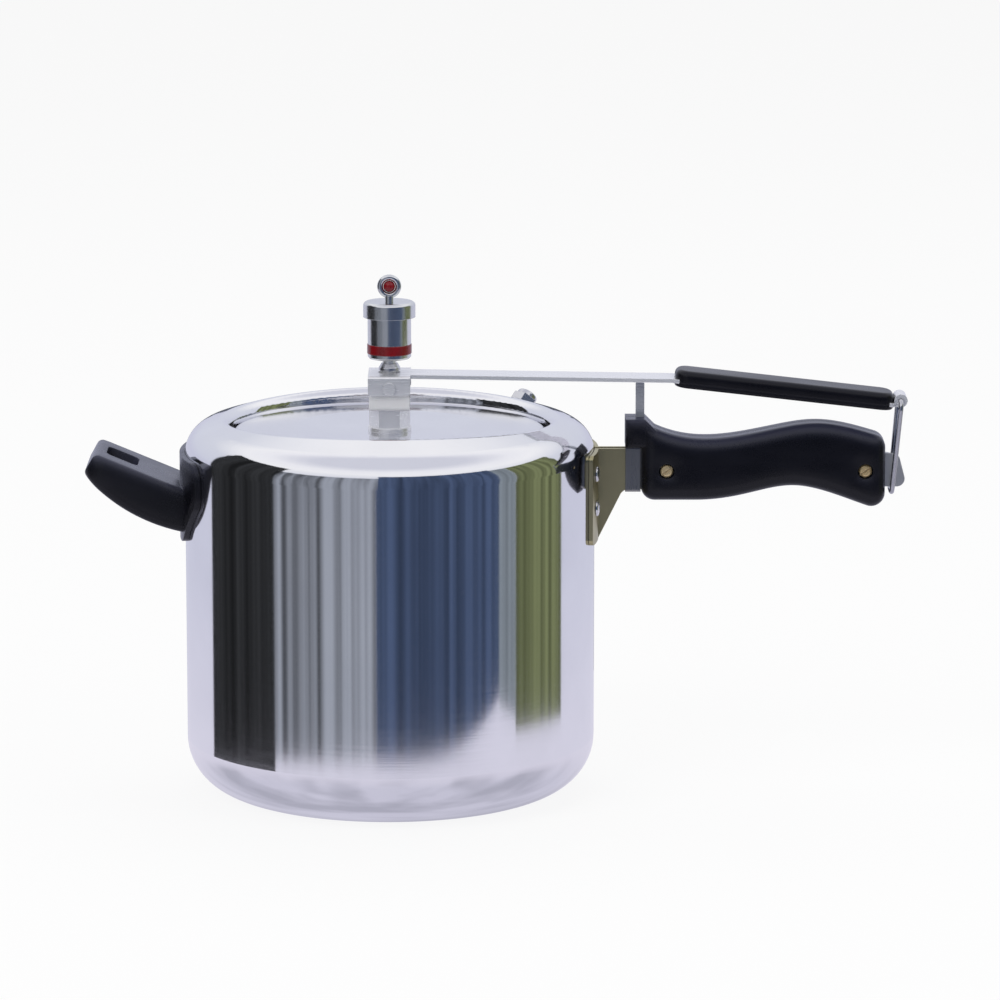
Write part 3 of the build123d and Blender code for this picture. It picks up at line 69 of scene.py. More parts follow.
class Board:
    """Node tree of one finish, with short calls that add and join nodes."""

    def __init__(self, tree: bpy.types.NodeTree) -> None:
        """Empty the tree and keep it.

        Args:
            tree: Node tree of a material or of the world.
        """
        self.tree = tree
        self.tree.nodes.clear()

    def add(self, kind: str, **values: object) -> bpy.types.Node:
        """Add a node.

        Args:
            kind: Blender's name of the node type.
            **values: Properties of the node to set.

        Returns:
            The new node.
        """
        node = self.tree.nodes.new(kind)
        for name, value in values.items():
            setattr(node, name, value)
        return node

    def join(self, source: Socket, target: Socket) -> None:
        """Link an output to an input."""
        self.tree.links.new(source, target)

    def feed(self, target: Socket, value: Socket | float | tuple) -> None:
        """Link an output to an input, or set the input's own value.

        Args:
            target: The input.
            value: An output, or a constant.
        """
        if isinstance(value, Socket):
            self.join(value, target)
        else:
            target.default_value = value

    def calc(self, operation: str, first: Socket | float, second: Socket | float = 0.0) -> Socket:
        """Add a math node.

        Args:
            operation: Blender's name of the operation.
            first: First number.
            second: Second number.

        Returns:
            The result.
        """
        node = self.add("ShaderNodeMath", operation=operation)
        self.feed(node.inputs[0], first)
        self.feed(node.inputs[1], second)
        return node.outputs[0]

    def weigh(self, first: Socket, second: Socket, share: float) -> Socket:
        """Add two numbers by their shares.

        Args:
            first: First number.
            second: Second number.
            share: Share of the first number; the second has the rest.

        Returns:
            The weighted sum.
        """
        rest = self.calc("MULTIPLY", second, 1.0 - share)
        return self.calc("ADD", self.calc("MULTIPLY", first, share), rest)

    def ramp(self, value: Socket, result: Span, reach: Span) -> Socket:
        """Map a number from one range to another, and hold it there.

        Args:
            value: Number to map.
            result: Results at the start and the end of its range.
            reach: Start and end of its range.

        Returns:
            The mapped number.
        """
        node = self.add("ShaderNodeMapRange", clamp=True)
        self.feed(node.inputs["Value"], value)
        for name, number in zip(("From Min", "From Max", "To Min", "To Max"), (*reach, *result)):
            node.inputs[name].default_value = number
        return node.outputs["Result"]

    def mix(self, factor: Socket, first: Socket | Colour, second: Socket | Colour) -> Socket:
        """Mix two colours by a number.

        Args:
            factor: Share of the second colour.
            first: First colour.
            second: Second colour.

        Returns:
            The mixed colour.
        """
        node = self.add("ShaderNodeMix", data_type="RGBA")
        self.feed(node.inputs[MIX_FACTOR], factor)
        for slot, colour in ((MIX_FIRST, first), (MIX_SECOND, second)):
            self.feed(node.inputs[slot], colour if isinstance(colour, Socket) else (*colour, 1.0))
        return node.outputs[MIX_RESULT]

    def gradient(self, value: Socket, stops: tuple[tuple[float, Colour], ...]) -> Socket:
        """Run through several colours by a number.

        Args:
            value: Number from 0 to 1.
            stops: Number and colour of each stop, the first and the last one before those between.

        Returns:
            The colour.
        """
        node = self.add("ShaderNodeValToRGB")
        self.join(value, node.inputs[0])
        marks = node.color_ramp.elements
        ready = len(marks)
        for index, (place, colour) in enumerate(stops):
            mark = marks[index] if index < ready else marks.new(place)
            mark.position = place
            mark.color = (*colour, 1.0)
        return node.outputs["Color"]

    def noise(self, vector: Socket, scale: float, detail: float = NOISE_DETAIL) -> Socket:
        """Add a noise texture.

        Args:
            vector: Place on the surface, in metres.
            scale: Blobs to a metre.
            detail: Octaves of finer noise.

        Returns:
            The noise, from 0 to 1.
        """
        node = self.add("ShaderNodeTexNoise")
        self.join(vector, node.inputs["Vector"])
        node.inputs["Scale"].default_value = scale
        node.inputs["Detail"].default_value = detail
        return node.outputs["Fac"]

    def place(self) -> Socket:
        """Place on the object, in metres."""
        return self.add("ShaderNodeTexCoord").outputs["Object"]

    def parts(self, vector: Socket) -> tuple[Socket, Socket, Socket]:
        """Split a vector into its three numbers.

        Args:
            vector: The vector.

        Returns:
            Its X, Y and Z.
        """
        node = self.add("ShaderNodeSeparateXYZ")
        self.join(vector, node.inputs[0])
        return tuple(node.outputs)

    def stretched(self, vector: Socket, scale: Point) -> Socket:
        """Scale a vector by its own number on each axis.

        Args:
            vector: The vector.
            scale: Number for each axis.

        Returns:
            The scaled vector.
        """
        node = self.add("ShaderNodeMapping")
        self.join(vector, node.inputs["Vector"])
        node.inputs["Scale"].default_value = scale
        return node.outputs["Vector"]

    def round_place(self, vector: Socket) -> Socket:
        """Place counted round the upright axis and along the turned outline.

        Args:
            vector: Place on the object.

        Returns:
            A vector of the angle in radians, zero, and the height less the radius.
        """
        x, y, z = self.parts(vector)
        squares = self.calc("ADD", self.calc("MULTIPLY", x, x), self.calc("MULTIPLY", y, y))
        joined = self.add("ShaderNodeCombineXYZ")
        self.join(self.calc("ARCTAN2", y, x), joined.inputs[0])
        self.join(self.calc("SUBTRACT", z, self.calc("SQRT", squares)), joined.inputs[2])
        return joined.outputs[0]

    def rounded(self, radius: float, samples: int = EDGE_SAMPLES) -> Socket:
        """Normal of a piece with its sharp edges rounded.

        Args:
            radius: Radius of the rounding, in metres.
            samples: Rays that look for edges.

        Returns:
            The normal.
        """
        node = self.add("ShaderNodeBevel", samples=samples)
        node.inputs["Radius"].default_value = radius
        return node.outputs[0]

    def nearness(self, normal: Socket) -> Socket:
        """How near a sharp edge is.

        Args:
            normal: Normal with its edges rounded.

        Returns:
            The nearness, from 0 to 1.
        """
        dot = self.add("ShaderNodeVectorMath", operation="DOT_PRODUCT")
        self.join(normal, dot.inputs[0])
        self.join(self.add("ShaderNodeNewGeometry").outputs["Normal"], dot.inputs[1])
        return self.ramp(dot.outputs["Value"], (1.0, 0.0), EDGE_TURN)

    def bump(self, height: Socket, strength: float, distance: float, normal: Socket | None = None) -> Socket:
        """Raise the surface a little by a number.

        Args:
            height: Height, from 0 to 1.
            strength: Share of the effect.
            distance: Height of 1, in metres.
            normal: Normal to start from.

        Returns:
            The new normal.
        """
        node = self.add("ShaderNodeBump")
        node.inputs["Strength"].default_value = strength
        node.inputs["Distance"].default_value = distance
        self.join(height, node.inputs["Height"])
        if normal is not None:
            self.join(normal, node.inputs["Normal"])
        return node.outputs[0]


@dataclass(frozen=True)
class Finish:
    """A finish that can be made into a material."""

    name: str
    colour: Colour

    def make(self) -> bpy.types.Material:
        """Make the material.

        Returns:
            The material, with its nodes built.
        """
        material = bpy.data.materials.new(self.name)
        material.use_nodes = True
        material.diffuse_color = (*self.colour, 1.0)
        board = Board(material.node_tree)
        shader = board.add("ShaderNodeBsdfPrincipled")
        output = board.add("ShaderNodeOutputMaterial")
        board.join(shader.outputs[0], output.inputs["Surface"])
        self.build(board, shader)
        return material

    def build(self, board: Board, shader: bpy.types.Node) -> None:
        """Build the nodes that feed the shader.

        Args:
            board: The material's node tree.
            shader: Its surface shader.
        """
        raise NotImplementedError


@dataclass(frozen=True)
class BuffedMetal(Finish):
    """Metal polished on a wheel, whose fine lines run round the piece or along it."""

    grain: Grain = Grain.ROUND
    roughness: Span = (0.06, 0.12)
    lines_per_metre: float = 2600.0
    line_depth: float = 0.000004
    stretch: float = 0.5
    worn_edge: float = 0.0004
    stain: Colour = (0.80, 0.80, 0.82)
    metal: float = 1.0
    cloud_scale: float = 22.0
    cloud_detail: float = 4.0
    stain_reach: Span = (0.35, 0.7)
    line_share: float = 0.6
    dull_reach: Span = (0.3, 0.7)
    edge_dull: float = 0.06
    line_strength: float = 0.35
    line_detail: float = 3.0
    lines_per_radian: float = 1.5
    ends_per_metre: float = 40.0

    def build(self, board: Board, shader: bpy.types.Node) -> None:
        """Build the nodes that feed the shader.

        Args:
            board: The material's node tree.
            shader: Its surface shader.
        """
        place = board.place()
        lines = self._lines(board, place)
        cloud = board.noise(place, self.cloud_scale, self.cloud_detail)
        rounded = board.rounded(self.worn_edge)
        worn = board.calc("MULTIPLY", board.nearness(rounded), self.edge_dull)
        dull = board.ramp(board.weigh(lines, cloud, self.line_share), self.roughness, self.dull_reach)
        stained = board.ramp(cloud, (0.0, 1.0), self.stain_reach)
        board.feed(shader.inputs["Base Color"], board.mix(stained, self.colour, self.stain))
        board.feed(shader.inputs["Roughness"], board.calc("ADD", dull, worn))
        board.feed(shader.inputs["Normal"], board.bump(lines, self.line_strength, self.line_depth, rounded))
        shader.inputs["Metallic"].default_value = self.metal
        if self.grain is Grain.ROUND and self.stretch > 0:
            shader.inputs["Anisotropic"].default_value = self.stretch
            tangent = board.add("ShaderNodeTangent", direction_type="RADIAL", axis="Z")
            board.feed(shader.inputs["Tangent"], tangent.outputs[0])

    def _lines(self, board: Board, place: Socket) -> Socket:
        """Fine lines left by the wheel.

        Args:
            board: The material's node tree.
            place: Place on the object.

        Returns:
            The lines' height, from 0 to 1.
        """
        across, along = self.lines_per_metre, self.ends_per_metre
        if self.grain is Grain.ROUND:
            place = board.round_place(place)
        scale = {Grain.ROUND: (self.lines_per_radian, 1.0, across),
                 Grain.LENGTH: (along, across, across),
                 Grain.HEIGHT: (across, across, along)}[self.grain]
        return board.noise(board.stretched(place, scale), 1.0, self.line_detail)


@dataclass(frozen=True)
class Moulding(Finish):
    """Hard black moulding: soft gloss, faint flow clouds, rubbed edges, painted highlight on upward faces."""

    rubbed: Colour = (0.012, 0.012, 0.016)
    cloud: Colour = (0.0045, 0.0045, 0.0075)
    cloud_reach: Span = (0.35, 0.7)
    roughness: Span = (0.24, 0.33)
    dull_reach: Span = (0.35, 0.65)
    flow_stretch: Point = (0.4, 1.0, 1.0)
    flow_scale: float = 70.0
    flow_detail: float = 5.0
    flow_share: float = 0.7
    skin_per_metre: float = 1500.0
    skin_strength: float = 0.25
    skin_depth: float = 0.00002
    rub_width: float = 0.0010
    rub_share: float = 0.6
    rub_reach: Span = (0.4, 0.65)
    specular: float = 0.17
    # Painted highlight: pale bluish colour laid on upward faces, with the wide rounding that fades it over
    # edges (that rounding also feeds the gloss normal).
    painted_top_highlight: Colour = (0.036, 0.038, 0.062)
    wide_round: float = 0.011
    wide_samples: int = 8
    painted_highlight_reach: Span = (0.08, 0.92)
    painted_highlight_power: float = 1.6
    gloss: float = 0.32
    gloss_roughness: float = 0.22
    gloss_tint: Colour = (0.80, 0.83, 1.0)

    def build(self, board: Board, shader: bpy.types.Node) -> None:
        """Build the nodes that feed the shader.

        Args:
            board: The material's node tree.
            shader: Its surface shader.
        """
        place = board.place()
        flow = board.noise(board.stretched(place, self.flow_stretch), self.flow_scale, self.flow_detail)
        skin = board.noise(place, self.skin_per_metre)
        rounded = board.rounded(self.rub_width)
        soft = board.rounded(self.wide_round, self.wide_samples)
        body = board.mix(board.ramp(flow, (0.0, 1.0), self.cloud_reach), self.colour, self.cloud)
        patchy = board.ramp(flow, (0.0, self.rub_share), self.rub_reach)
        worn = board.mix(board.calc("MULTIPLY", board.nearness(rounded), patchy), body, self.rubbed)
        # Base colour gets a painted highlight: upward faces are lightened towards a pale bluish colour.
        board.feed(shader.inputs["Base Color"], board.mix(self._painted_highlight_share(board, soft), worn, self.painted_top_highlight))
        dull = board.ramp(board.weigh(flow, skin, self.flow_share), self.roughness, self.dull_reach)
        board.feed(shader.inputs["Roughness"], dull)
        board.feed(shader.inputs["Normal"], board.bump(skin, self.skin_strength, self.skin_depth, rounded))
        shader.inputs["Specular IOR Level"].default_value = self.specular
        shader.inputs["Coat Weight"].default_value = self.gloss
        shader.inputs["Coat Roughness"].default_value = self.gloss_roughness
        shader.inputs["Coat Tint"].default_value = (*self.gloss_tint, 1.0)
        board.join(soft, shader.inputs["Coat Normal"])

    def _painted_highlight_share(self, board: Board, normal: Socket) -> Socket:
        """Share of the painted highlight that lies on upward faces and fades over rounded edges.

        Args:
            board: The material's node tree.
            normal: Normal with its edges widely rounded.

        Returns:
            The share, from 0 to 1.
        """
        lift = board.ramp(board.parts(normal)[2], (0.0, 1.0), self.painted_highlight_reach)
        return board.calc("POWER", lift, self.painted_highlight_power)


@dataclass(frozen=True)
class Plastic(Finish):
    """Coloured plastic with a clear gloss and a soft depth."""

    shade: Colour = (0.25, 0.004, 0.006)
    shade_share: float = 0.8
    shade_reach: Span = (0.3, 0.75)
    roughness: Span = (0.16, 0.30)
    dull_reach: Span = (0.3, 0.7)
    cloud_scale: float = 180.0
    cloud_detail: float = 4.0
    fine_per_metre: float = 2400.0
    fine_strength: float = 0.12
    fine_depth: float = 0.00001
    edge_width: float = 0.0004
    depth: float = 0.0
    depth_scale: float = 0.001

    def build(self, board: Board, shader: bpy.types.Node) -> None:
        """Build the nodes that feed the shader.

        Args:
            board: The material's node tree.
            shader: Its surface shader.
        """
        place = board.place()
        cloud = board.noise(place, self.cloud_scale, self.cloud_detail)
        fine = board.noise(place, self.fine_per_metre)
        shaded = board.ramp(cloud, (0.0, self.shade_share), self.shade_reach)
        normal = board.bump(fine, self.fine_strength, self.fine_depth, board.rounded(self.edge_width))
        board.feed(shader.inputs["Base Color"], board.mix(shaded, self.colour, self.shade))
        board.feed(shader.inputs["Roughness"], board.ramp(cloud, self.roughness, self.dull_reach))
        board.feed(shader.inputs["Normal"], normal)
        shader.inputs["Subsurface Weight"].default_value = self.depth
        shader.inputs["Subsurface Scale"].default_value = self.depth_scale


@dataclass(frozen=True)
class Rubber(Finish):
    """Soft sealing rubber with a dusty skin."""

    dust: Colour = (0.10, 0.10, 0.11)
    dust_reach: Span = (0.4, 0.75)
    roughness: Span = (0.55, 0.75)
    dull_reach: Span = (0.3, 0.7)
    cloud_scale: float = 90.0
    cloud_detail: float = 5.0
    fine_per_metre: float = 1800.0
    fine_strength: float = 0.3
    fine_depth: float = 0.00003

    def build(self, board: Board, shader: bpy.types.Node) -> None:
        """Build the nodes that feed the shader.

        Args:
            board: The material's node tree.
            shader: Its surface shader.
        """
        place = board.place()
        fine = board.noise(place, self.fine_per_metre)
        cloud = board.noise(place, self.cloud_scale, self.cloud_detail)
        dusty = board.ramp(cloud, (0.0, 1.0), self.dust_reach)
        board.feed(shader.inputs["Base Color"], board.mix(dusty, self.colour, self.dust))
        board.feed(shader.inputs["Roughness"], board.ramp(fine, self.roughness, self.dull_reach))
        board.feed(shader.inputs["Normal"], board.bump(fine, self.fine_strength, self.fine_depth))


POT_ALUMINIUM = BuffedMetal(
    "buffed_pot_aluminium", (0.90, 0.90, 0.925), roughness=(0.045, 0.085),
    stain=(0.85, 0.85, 0.88), worn_edge=0.0002)
LID_ALUMINIUM = BuffedMetal(
    "buffed_lid_aluminium", (0.88, 0.88, 0.91), roughness=(0.10, 0.17),
    stain=(0.83, 0.83, 0.87), worn_edge=0.0002)
STRIP_STEEL = BuffedMetal(
    "plated_strip_steel", (0.92, 0.92, 0.94), Grain.LENGTH, (0.20, 0.30), 1800.0,
    stain=(0.88, 0.88, 0.90), metal=0.65)
BAR_STEEL = BuffedMetal(
    "plated_bar_steel", (0.62, 0.63, 0.65), Grain.LENGTH, (0.24, 0.36), 1800.0,
    stain=(0.54, 0.55, 0.57), metal=0.75)
PLATE_STEEL = BuffedMetal(
    "yellow_passivated_plate", (0.54, 0.49, 0.28), Grain.HEIGHT, (0.28, 0.40), 1600.0,
    stain=(0.44, 0.40, 0.23))
COLLAR_STEEL = BuffedMetal(
    "grey_collar_steel", (0.34, 0.34, 0.33), Grain.HEIGHT, (0.24, 0.36), 1600.0,
    stain=(0.26, 0.26, 0.25))
SATIN_STEEL = BuffedMetal(
    "satin_bracket_steel", (0.92, 0.92, 0.92), Grain.HEIGHT, (0.42, 0.55), 1600.0,
    stain=(0.87, 0.87, 0.88), metal=0.35)
TURNED_STEEL = BuffedMetal(
    "turned_steel", (0.70, 0.70, 0.73), Grain.ROUND, (0.14, 0.24), 3200.0,
    stretch=0.3, stain=(0.60, 0.60, 0.63))
WIRE_STEEL = BuffedMetal(
    "drawn_wire_steel", (0.66, 0.66, 0.69), Grain.HEIGHT, (0.16, 0.28), 2400.0,
    stain=(0.55, 0.55, 0.58))
CHROME = BuffedMetal(
    "turned_chrome", (0.80, 0.81, 0.82), Grain.ROUND, (0.16, 0.26), 3600.0,
    stretch=0.35, stain=(0.74, 0.75, 0.76), worn_edge=0.0003)
RIVET_ALUMINIUM = BuffedMetal(
    "set_rivet_aluminium", (0.84, 0.84, 0.86), Grain.LENGTH, (0.18, 0.34), 700.0,
    stain=(0.74, 0.74, 0.77))
BRASS = BuffedMetal(
    "brass_screw_heads", (0.80, 0.64, 0.38), Grain.LENGTH, (0.20, 0.30), 1500.0,
    stain=(0.70, 0.53, 0.28), worn_edge=0.0003, metal=0.7)
ALLOY = BuffedMetal(
    "fusible_alloy", (0.58, 0.58, 0.60), Grain.LENGTH, (0.30, 0.45), 900.0,
    stain=(0.48, 0.48, 0.50))
# Both mouldings carry a painted highlight on their upward faces; the grip's is fainter and narrower.
BLACK_MOULDING = Moulding("black_moulding", (0.0022, 0.0022, 0.0038))
GRIP_MOULDING = Moulding(
    "black_grip_moulding", (0.0022, 0.0022, 0.0038), painted_top_highlight=(0.010, 0.010, 0.015),
    wide_round=0.004, gloss=0.15)
RED_PLASTIC = Plastic("red_plastic", (0.20, 0.004, 0.008), (0.11, 0.002, 0.004), depth=0.03)
SEAL_RUBBER = Rubber("seal_rubber", (0.025, 0.025, 0.027))


def deselect() -> None:
    """Leave every object unselected and none of them in edit mode."""
    if bpy.context.object is not None and bpy.context.object.mode != "OBJECT":
        bpy.ops.object.mode_set(mode="OBJECT")
    bpy.ops.object.select_all(action="DESELECT")


@dataclass
class Finishes:
    """All the materials, each made once."""

    made: dict[str, bpy.types.Material] = field(default_factory=dict)

    def of(self, finish: Finish) -> bpy.types.Material:
        """The material of a finish, made on its first use.

        Args:
            finish: The finish.

        Returns:
            Its material.
        """
        if finish.name not in self.made:
            self.made[finish.name] = finish.make()
        return self.made[finish.name]


@dataclass
class SubAssembly:
    """A group of nodes that belong together, with the pieces modelled for it."""

    finishes: Finishes

    def build(self) -> None:
        """Dress the group's nodes, then model its own pieces."""
        self.dress()
        self.model()

    def dress(self) -> None:
        """Give each node of the group its finish."""
        raise NotImplementedError

    def model(self) -> None:
        """Model nothing, where the nodes are complete as they are."""

    def wear(self, finish: Finish, *names: str) -> None:
        """Give a finish to CAD nodes.

        Args:
            finish: The finish.
            *names: Names of the nodes.
        """
        material = self.finishes.of(finish)
        for name in names:
            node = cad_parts[name]
            node.data.materials.clear()
            node.data.materials.append(material)
            LOG.info("%s wears %s", name, material.name)


@dataclass
class PotShell(SubAssembly):
    """Drawn pot with its safety valve, its two bracket plates and their rivets."""

    wall_radius: float = 0.104
    wall_thickness: float = 0.0032
    plate_stand: float = 0.0022
    rivet_offset: float = 0.01555
    rivet_heights: Span = (0.1477, 0.1652)
    shank_radius: float = 0.0018
    shank_sides: int = 32
    head_radius: float = 0.004
    head_height: float = 0.0015
    head_gap: float = 0.0001
    dome_rings: tuple[Span, ...] = ((1.0, 0.0), (0.98, 0.35), (0.86, 0.66), (0.62, 0.88), (0.30, 1.0))
    flat_rings: tuple[Span, ...] = ((1.0, 0.0), (1.0, 0.75), (0.88, 1.0))
    end_share: float = 0.01
    merge_gap: float = 0.000001
    smooth_angle: float = 50.0

    def dress(self) -> None:
        """Give the pot, its valve and its plates their finishes."""
        self.wear(POT_ALUMINIUM, "pot_body")
        self.wear(PLATE_STEEL, "handle_bracket_front", "handle_bracket_rear", "helper_bracket")
        self.wear(TURNED_STEEL, "safety_valve_body", "safety_valve_nut")
        self.wear(ALLOY, "safety_valve_plug")
        self.wear(RIVET_ALUMINIUM, "bracket_rivets", "helper_rivets", "bar_rivet")

    def model(self) -> None:
        """Model the four bracket rivets with their domed heads."""
        rivets = self._rivets()
        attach(rivets, "pot")
        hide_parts("bracket_rivets")
        LOG.info("piece %s", rivets.name)

    def _rivets(self) -> bpy.types.Object:
        """Model one rivet and set four copies of it through the wall.

        Returns:
            The four rivets as one object.
        """
        pattern = self._one_rivet()
        turn = math.asin(self.rivet_offset / self.wall_radius)
        lay = Matrix.Rotation(math.radians(90), 4, "Y")
        copies = []
        for side in (-turn, turn):
            for height in self.rivet_heights:
                copy = pattern.copy()
                copy.data = pattern.data.copy()
                bpy.context.scene.collection.objects.link(copy)
                stand = Matrix.Rotation(side, 4, "Z") @ Matrix.Translation((self.wall_radius, 0, 0))
                copy.data.transform(Matrix.Translation((0, 0, height)) @ stand @ lay)
                copies.append(copy)
        bpy.data.objects.remove(pattern)
        deselect()
        for copy in copies:
            copy.select_set(True)
        bpy.context.view_layer.objects.active = copies[0]
        bpy.ops.object.join()
        rivets = bpy.context.object
        rivets.name = "bracket_rivet_set"
        rivets.data.materials.clear()
        rivets.data.materials.append(self.finishes.of(RIVET_ALUMINIUM))
        return rivets

    def _one_rivet(self) -> bpy.types.Object:
        """Model a rivet along +Z, its wall face at zero: shank, flat head inside, dome outside.

        Returns:
            The rivet.
        """
        deselect()
        inside = -self.wall_thickness - self.head_gap
        bpy.ops.mesh.primitive_cylinder_add(
            vertices=self.shank_sides, radius=self.shank_radius, depth=self.plate_stand - inside,
            location=(0, 0, (self.plate_stand + inside) / 2))
        rivet = bpy.context.object
        bpy.ops.object.transform_apply(location=True, rotation=True, scale=True)
        self._head(rivet, True, self.dome_rings)
        self._head(rivet, False, self.flat_rings)
        bpy.ops.object.shade_smooth_by_angle(angle=math.radians(self.smooth_angle))
        return rivet

    def _head(self, rivet: bpy.types.Object, top: bool, rings: tuple[Span, ...]) -> None:
        """Grow a head from one end of the shank, ring by ring.

        Args:
            rivet: The rivet, its shank along Z.
            top: Whether the head is at the +Z end.
            rings: Share of the head's radius and of its height, for each ring.
        """
        bpy.ops.object.mode_set(mode="EDIT")
        bpy.ops.mesh.select_all(action="DESELECT")
        bpy.ops.object.mode_set(mode="OBJECT")
        way = 1 if top else -1
        end = max(way * corner.co.z for corner in rivet.data.vertices)
        for face in rivet.data.polygons:
            face.select = way * face.center.z > end - self.end_share * self.head_height
        bpy.ops.object.mode_set(mode="EDIT")
        radius, height = self.shank_radius, 0.0
        for radius_share, height_share in rings:
            rise = (height_share - height) * self.head_height
            bpy.ops.mesh.extrude_region_move(TRANSFORM_OT_translate={"value": (0, 0, way * rise)})
            grow = radius_share * self.head_radius / radius
            bpy.ops.transform.resize(value=(grow, grow, 1))
            radius, height = radius_share * self.head_radius, height_share
        bpy.ops.mesh.select_all(action="SELECT")
        bpy.ops.mesh.remove_doubles(threshold=self.merge_gap)
        bpy.ops.mesh.normals_make_consistent(inside=False)
        bpy.ops.object.mode_set(mode="OBJECT")


@dataclass
class LongHandle(SubAssembly):
    """Two moulded halves on a stamped bar, with brass screws."""

    def dress(self) -> None:
        """Give the halves, the bar, the collar and the fasteners their finishes."""
        self.wear(BLACK_MOULDING, "handle_half_front", "handle_half_rear")
        self.wear(BAR_STEEL, "handle_bar")
        self.wear(COLLAR_STEEL, "handle_collar")
        self.wear(BRASS, "handle_screws")
        self.wear(TURNED_STEEL, "handle_nuts")


@dataclass
class HelperHandle(SubAssembly):
    """Short moulded handle on the far side of the pot."""

    def dress(self) -> None:
        """Give the moulding and its screw their finishes."""
        self.wear(BLACK_MOULDING, "helper_handle")
        self.wear(TURNED_STEEL, "helper_screw")


@dataclass
class LidSet(SubAssembly):
    """Oval lid with its seal, vent and bracket."""

    def dress(self) -> None:
        """Give the lid and what stands on it their finishes."""
        self.wear(LID_ALUMINIUM, "lid")
        self.wear(SEAL_RUBBER, "sealing_gasket", "vent_washer")
        self.wear(TURNED_STEEL, "vent_lock_nut", "bracket_nut", "vent_cone_nut")
        self.wear(STRIP_STEEL, "vent_tube")
        self.wear(SATIN_STEEL, "lid_bracket")


@dataclass
class LeverSet(SubAssembly):
    """Lid lever with its pivots, its moulded grip and the locking loop."""

    def dress(self) -> None:
        """Give the strip, its grip and the loop their finishes."""
        self.wear(STRIP_STEEL, "lid_lever", "pivot_rivets")
        self.wear(TURNED_STEEL, "grip_screws")
        self.wear(GRIP_MOULDING, "lid_grip_upper", "lid_grip_lower")
        self.wear(WIRE_STEEL, "locking_loop")


@dataclass
class SteamWeight(SubAssembly):
    """Turned weight on the vent, with its red band and bead."""

    def dress(self) -> None:
        """Give the turned pieces and the red ones their finishes."""
        self.wear(CHROME, "weight_body", "weight_cap", "weight_eye")
        self.wear(TURNED_STEEL, "weight_needle")
        self.wear(RED_PLASTIC, "weight_band", "weight_bead")


@dataclass(frozen=True)
class Card:
    """Upright curved card that only polished metal sees; its angles are in degrees from the middle."""

    name: str
    bearing: float
    spread: float
    top: float
    colour: Colour
    folds: float = 0.0
    foot: Span = (-14.0, -14.0)
    sweep: float = 1.0


@dataclass(frozen=True)
class Lamp:
    """Soft square lamp: place and side in metres, power in watts."""

    name: str
    place: Point
    size: float
    power: float


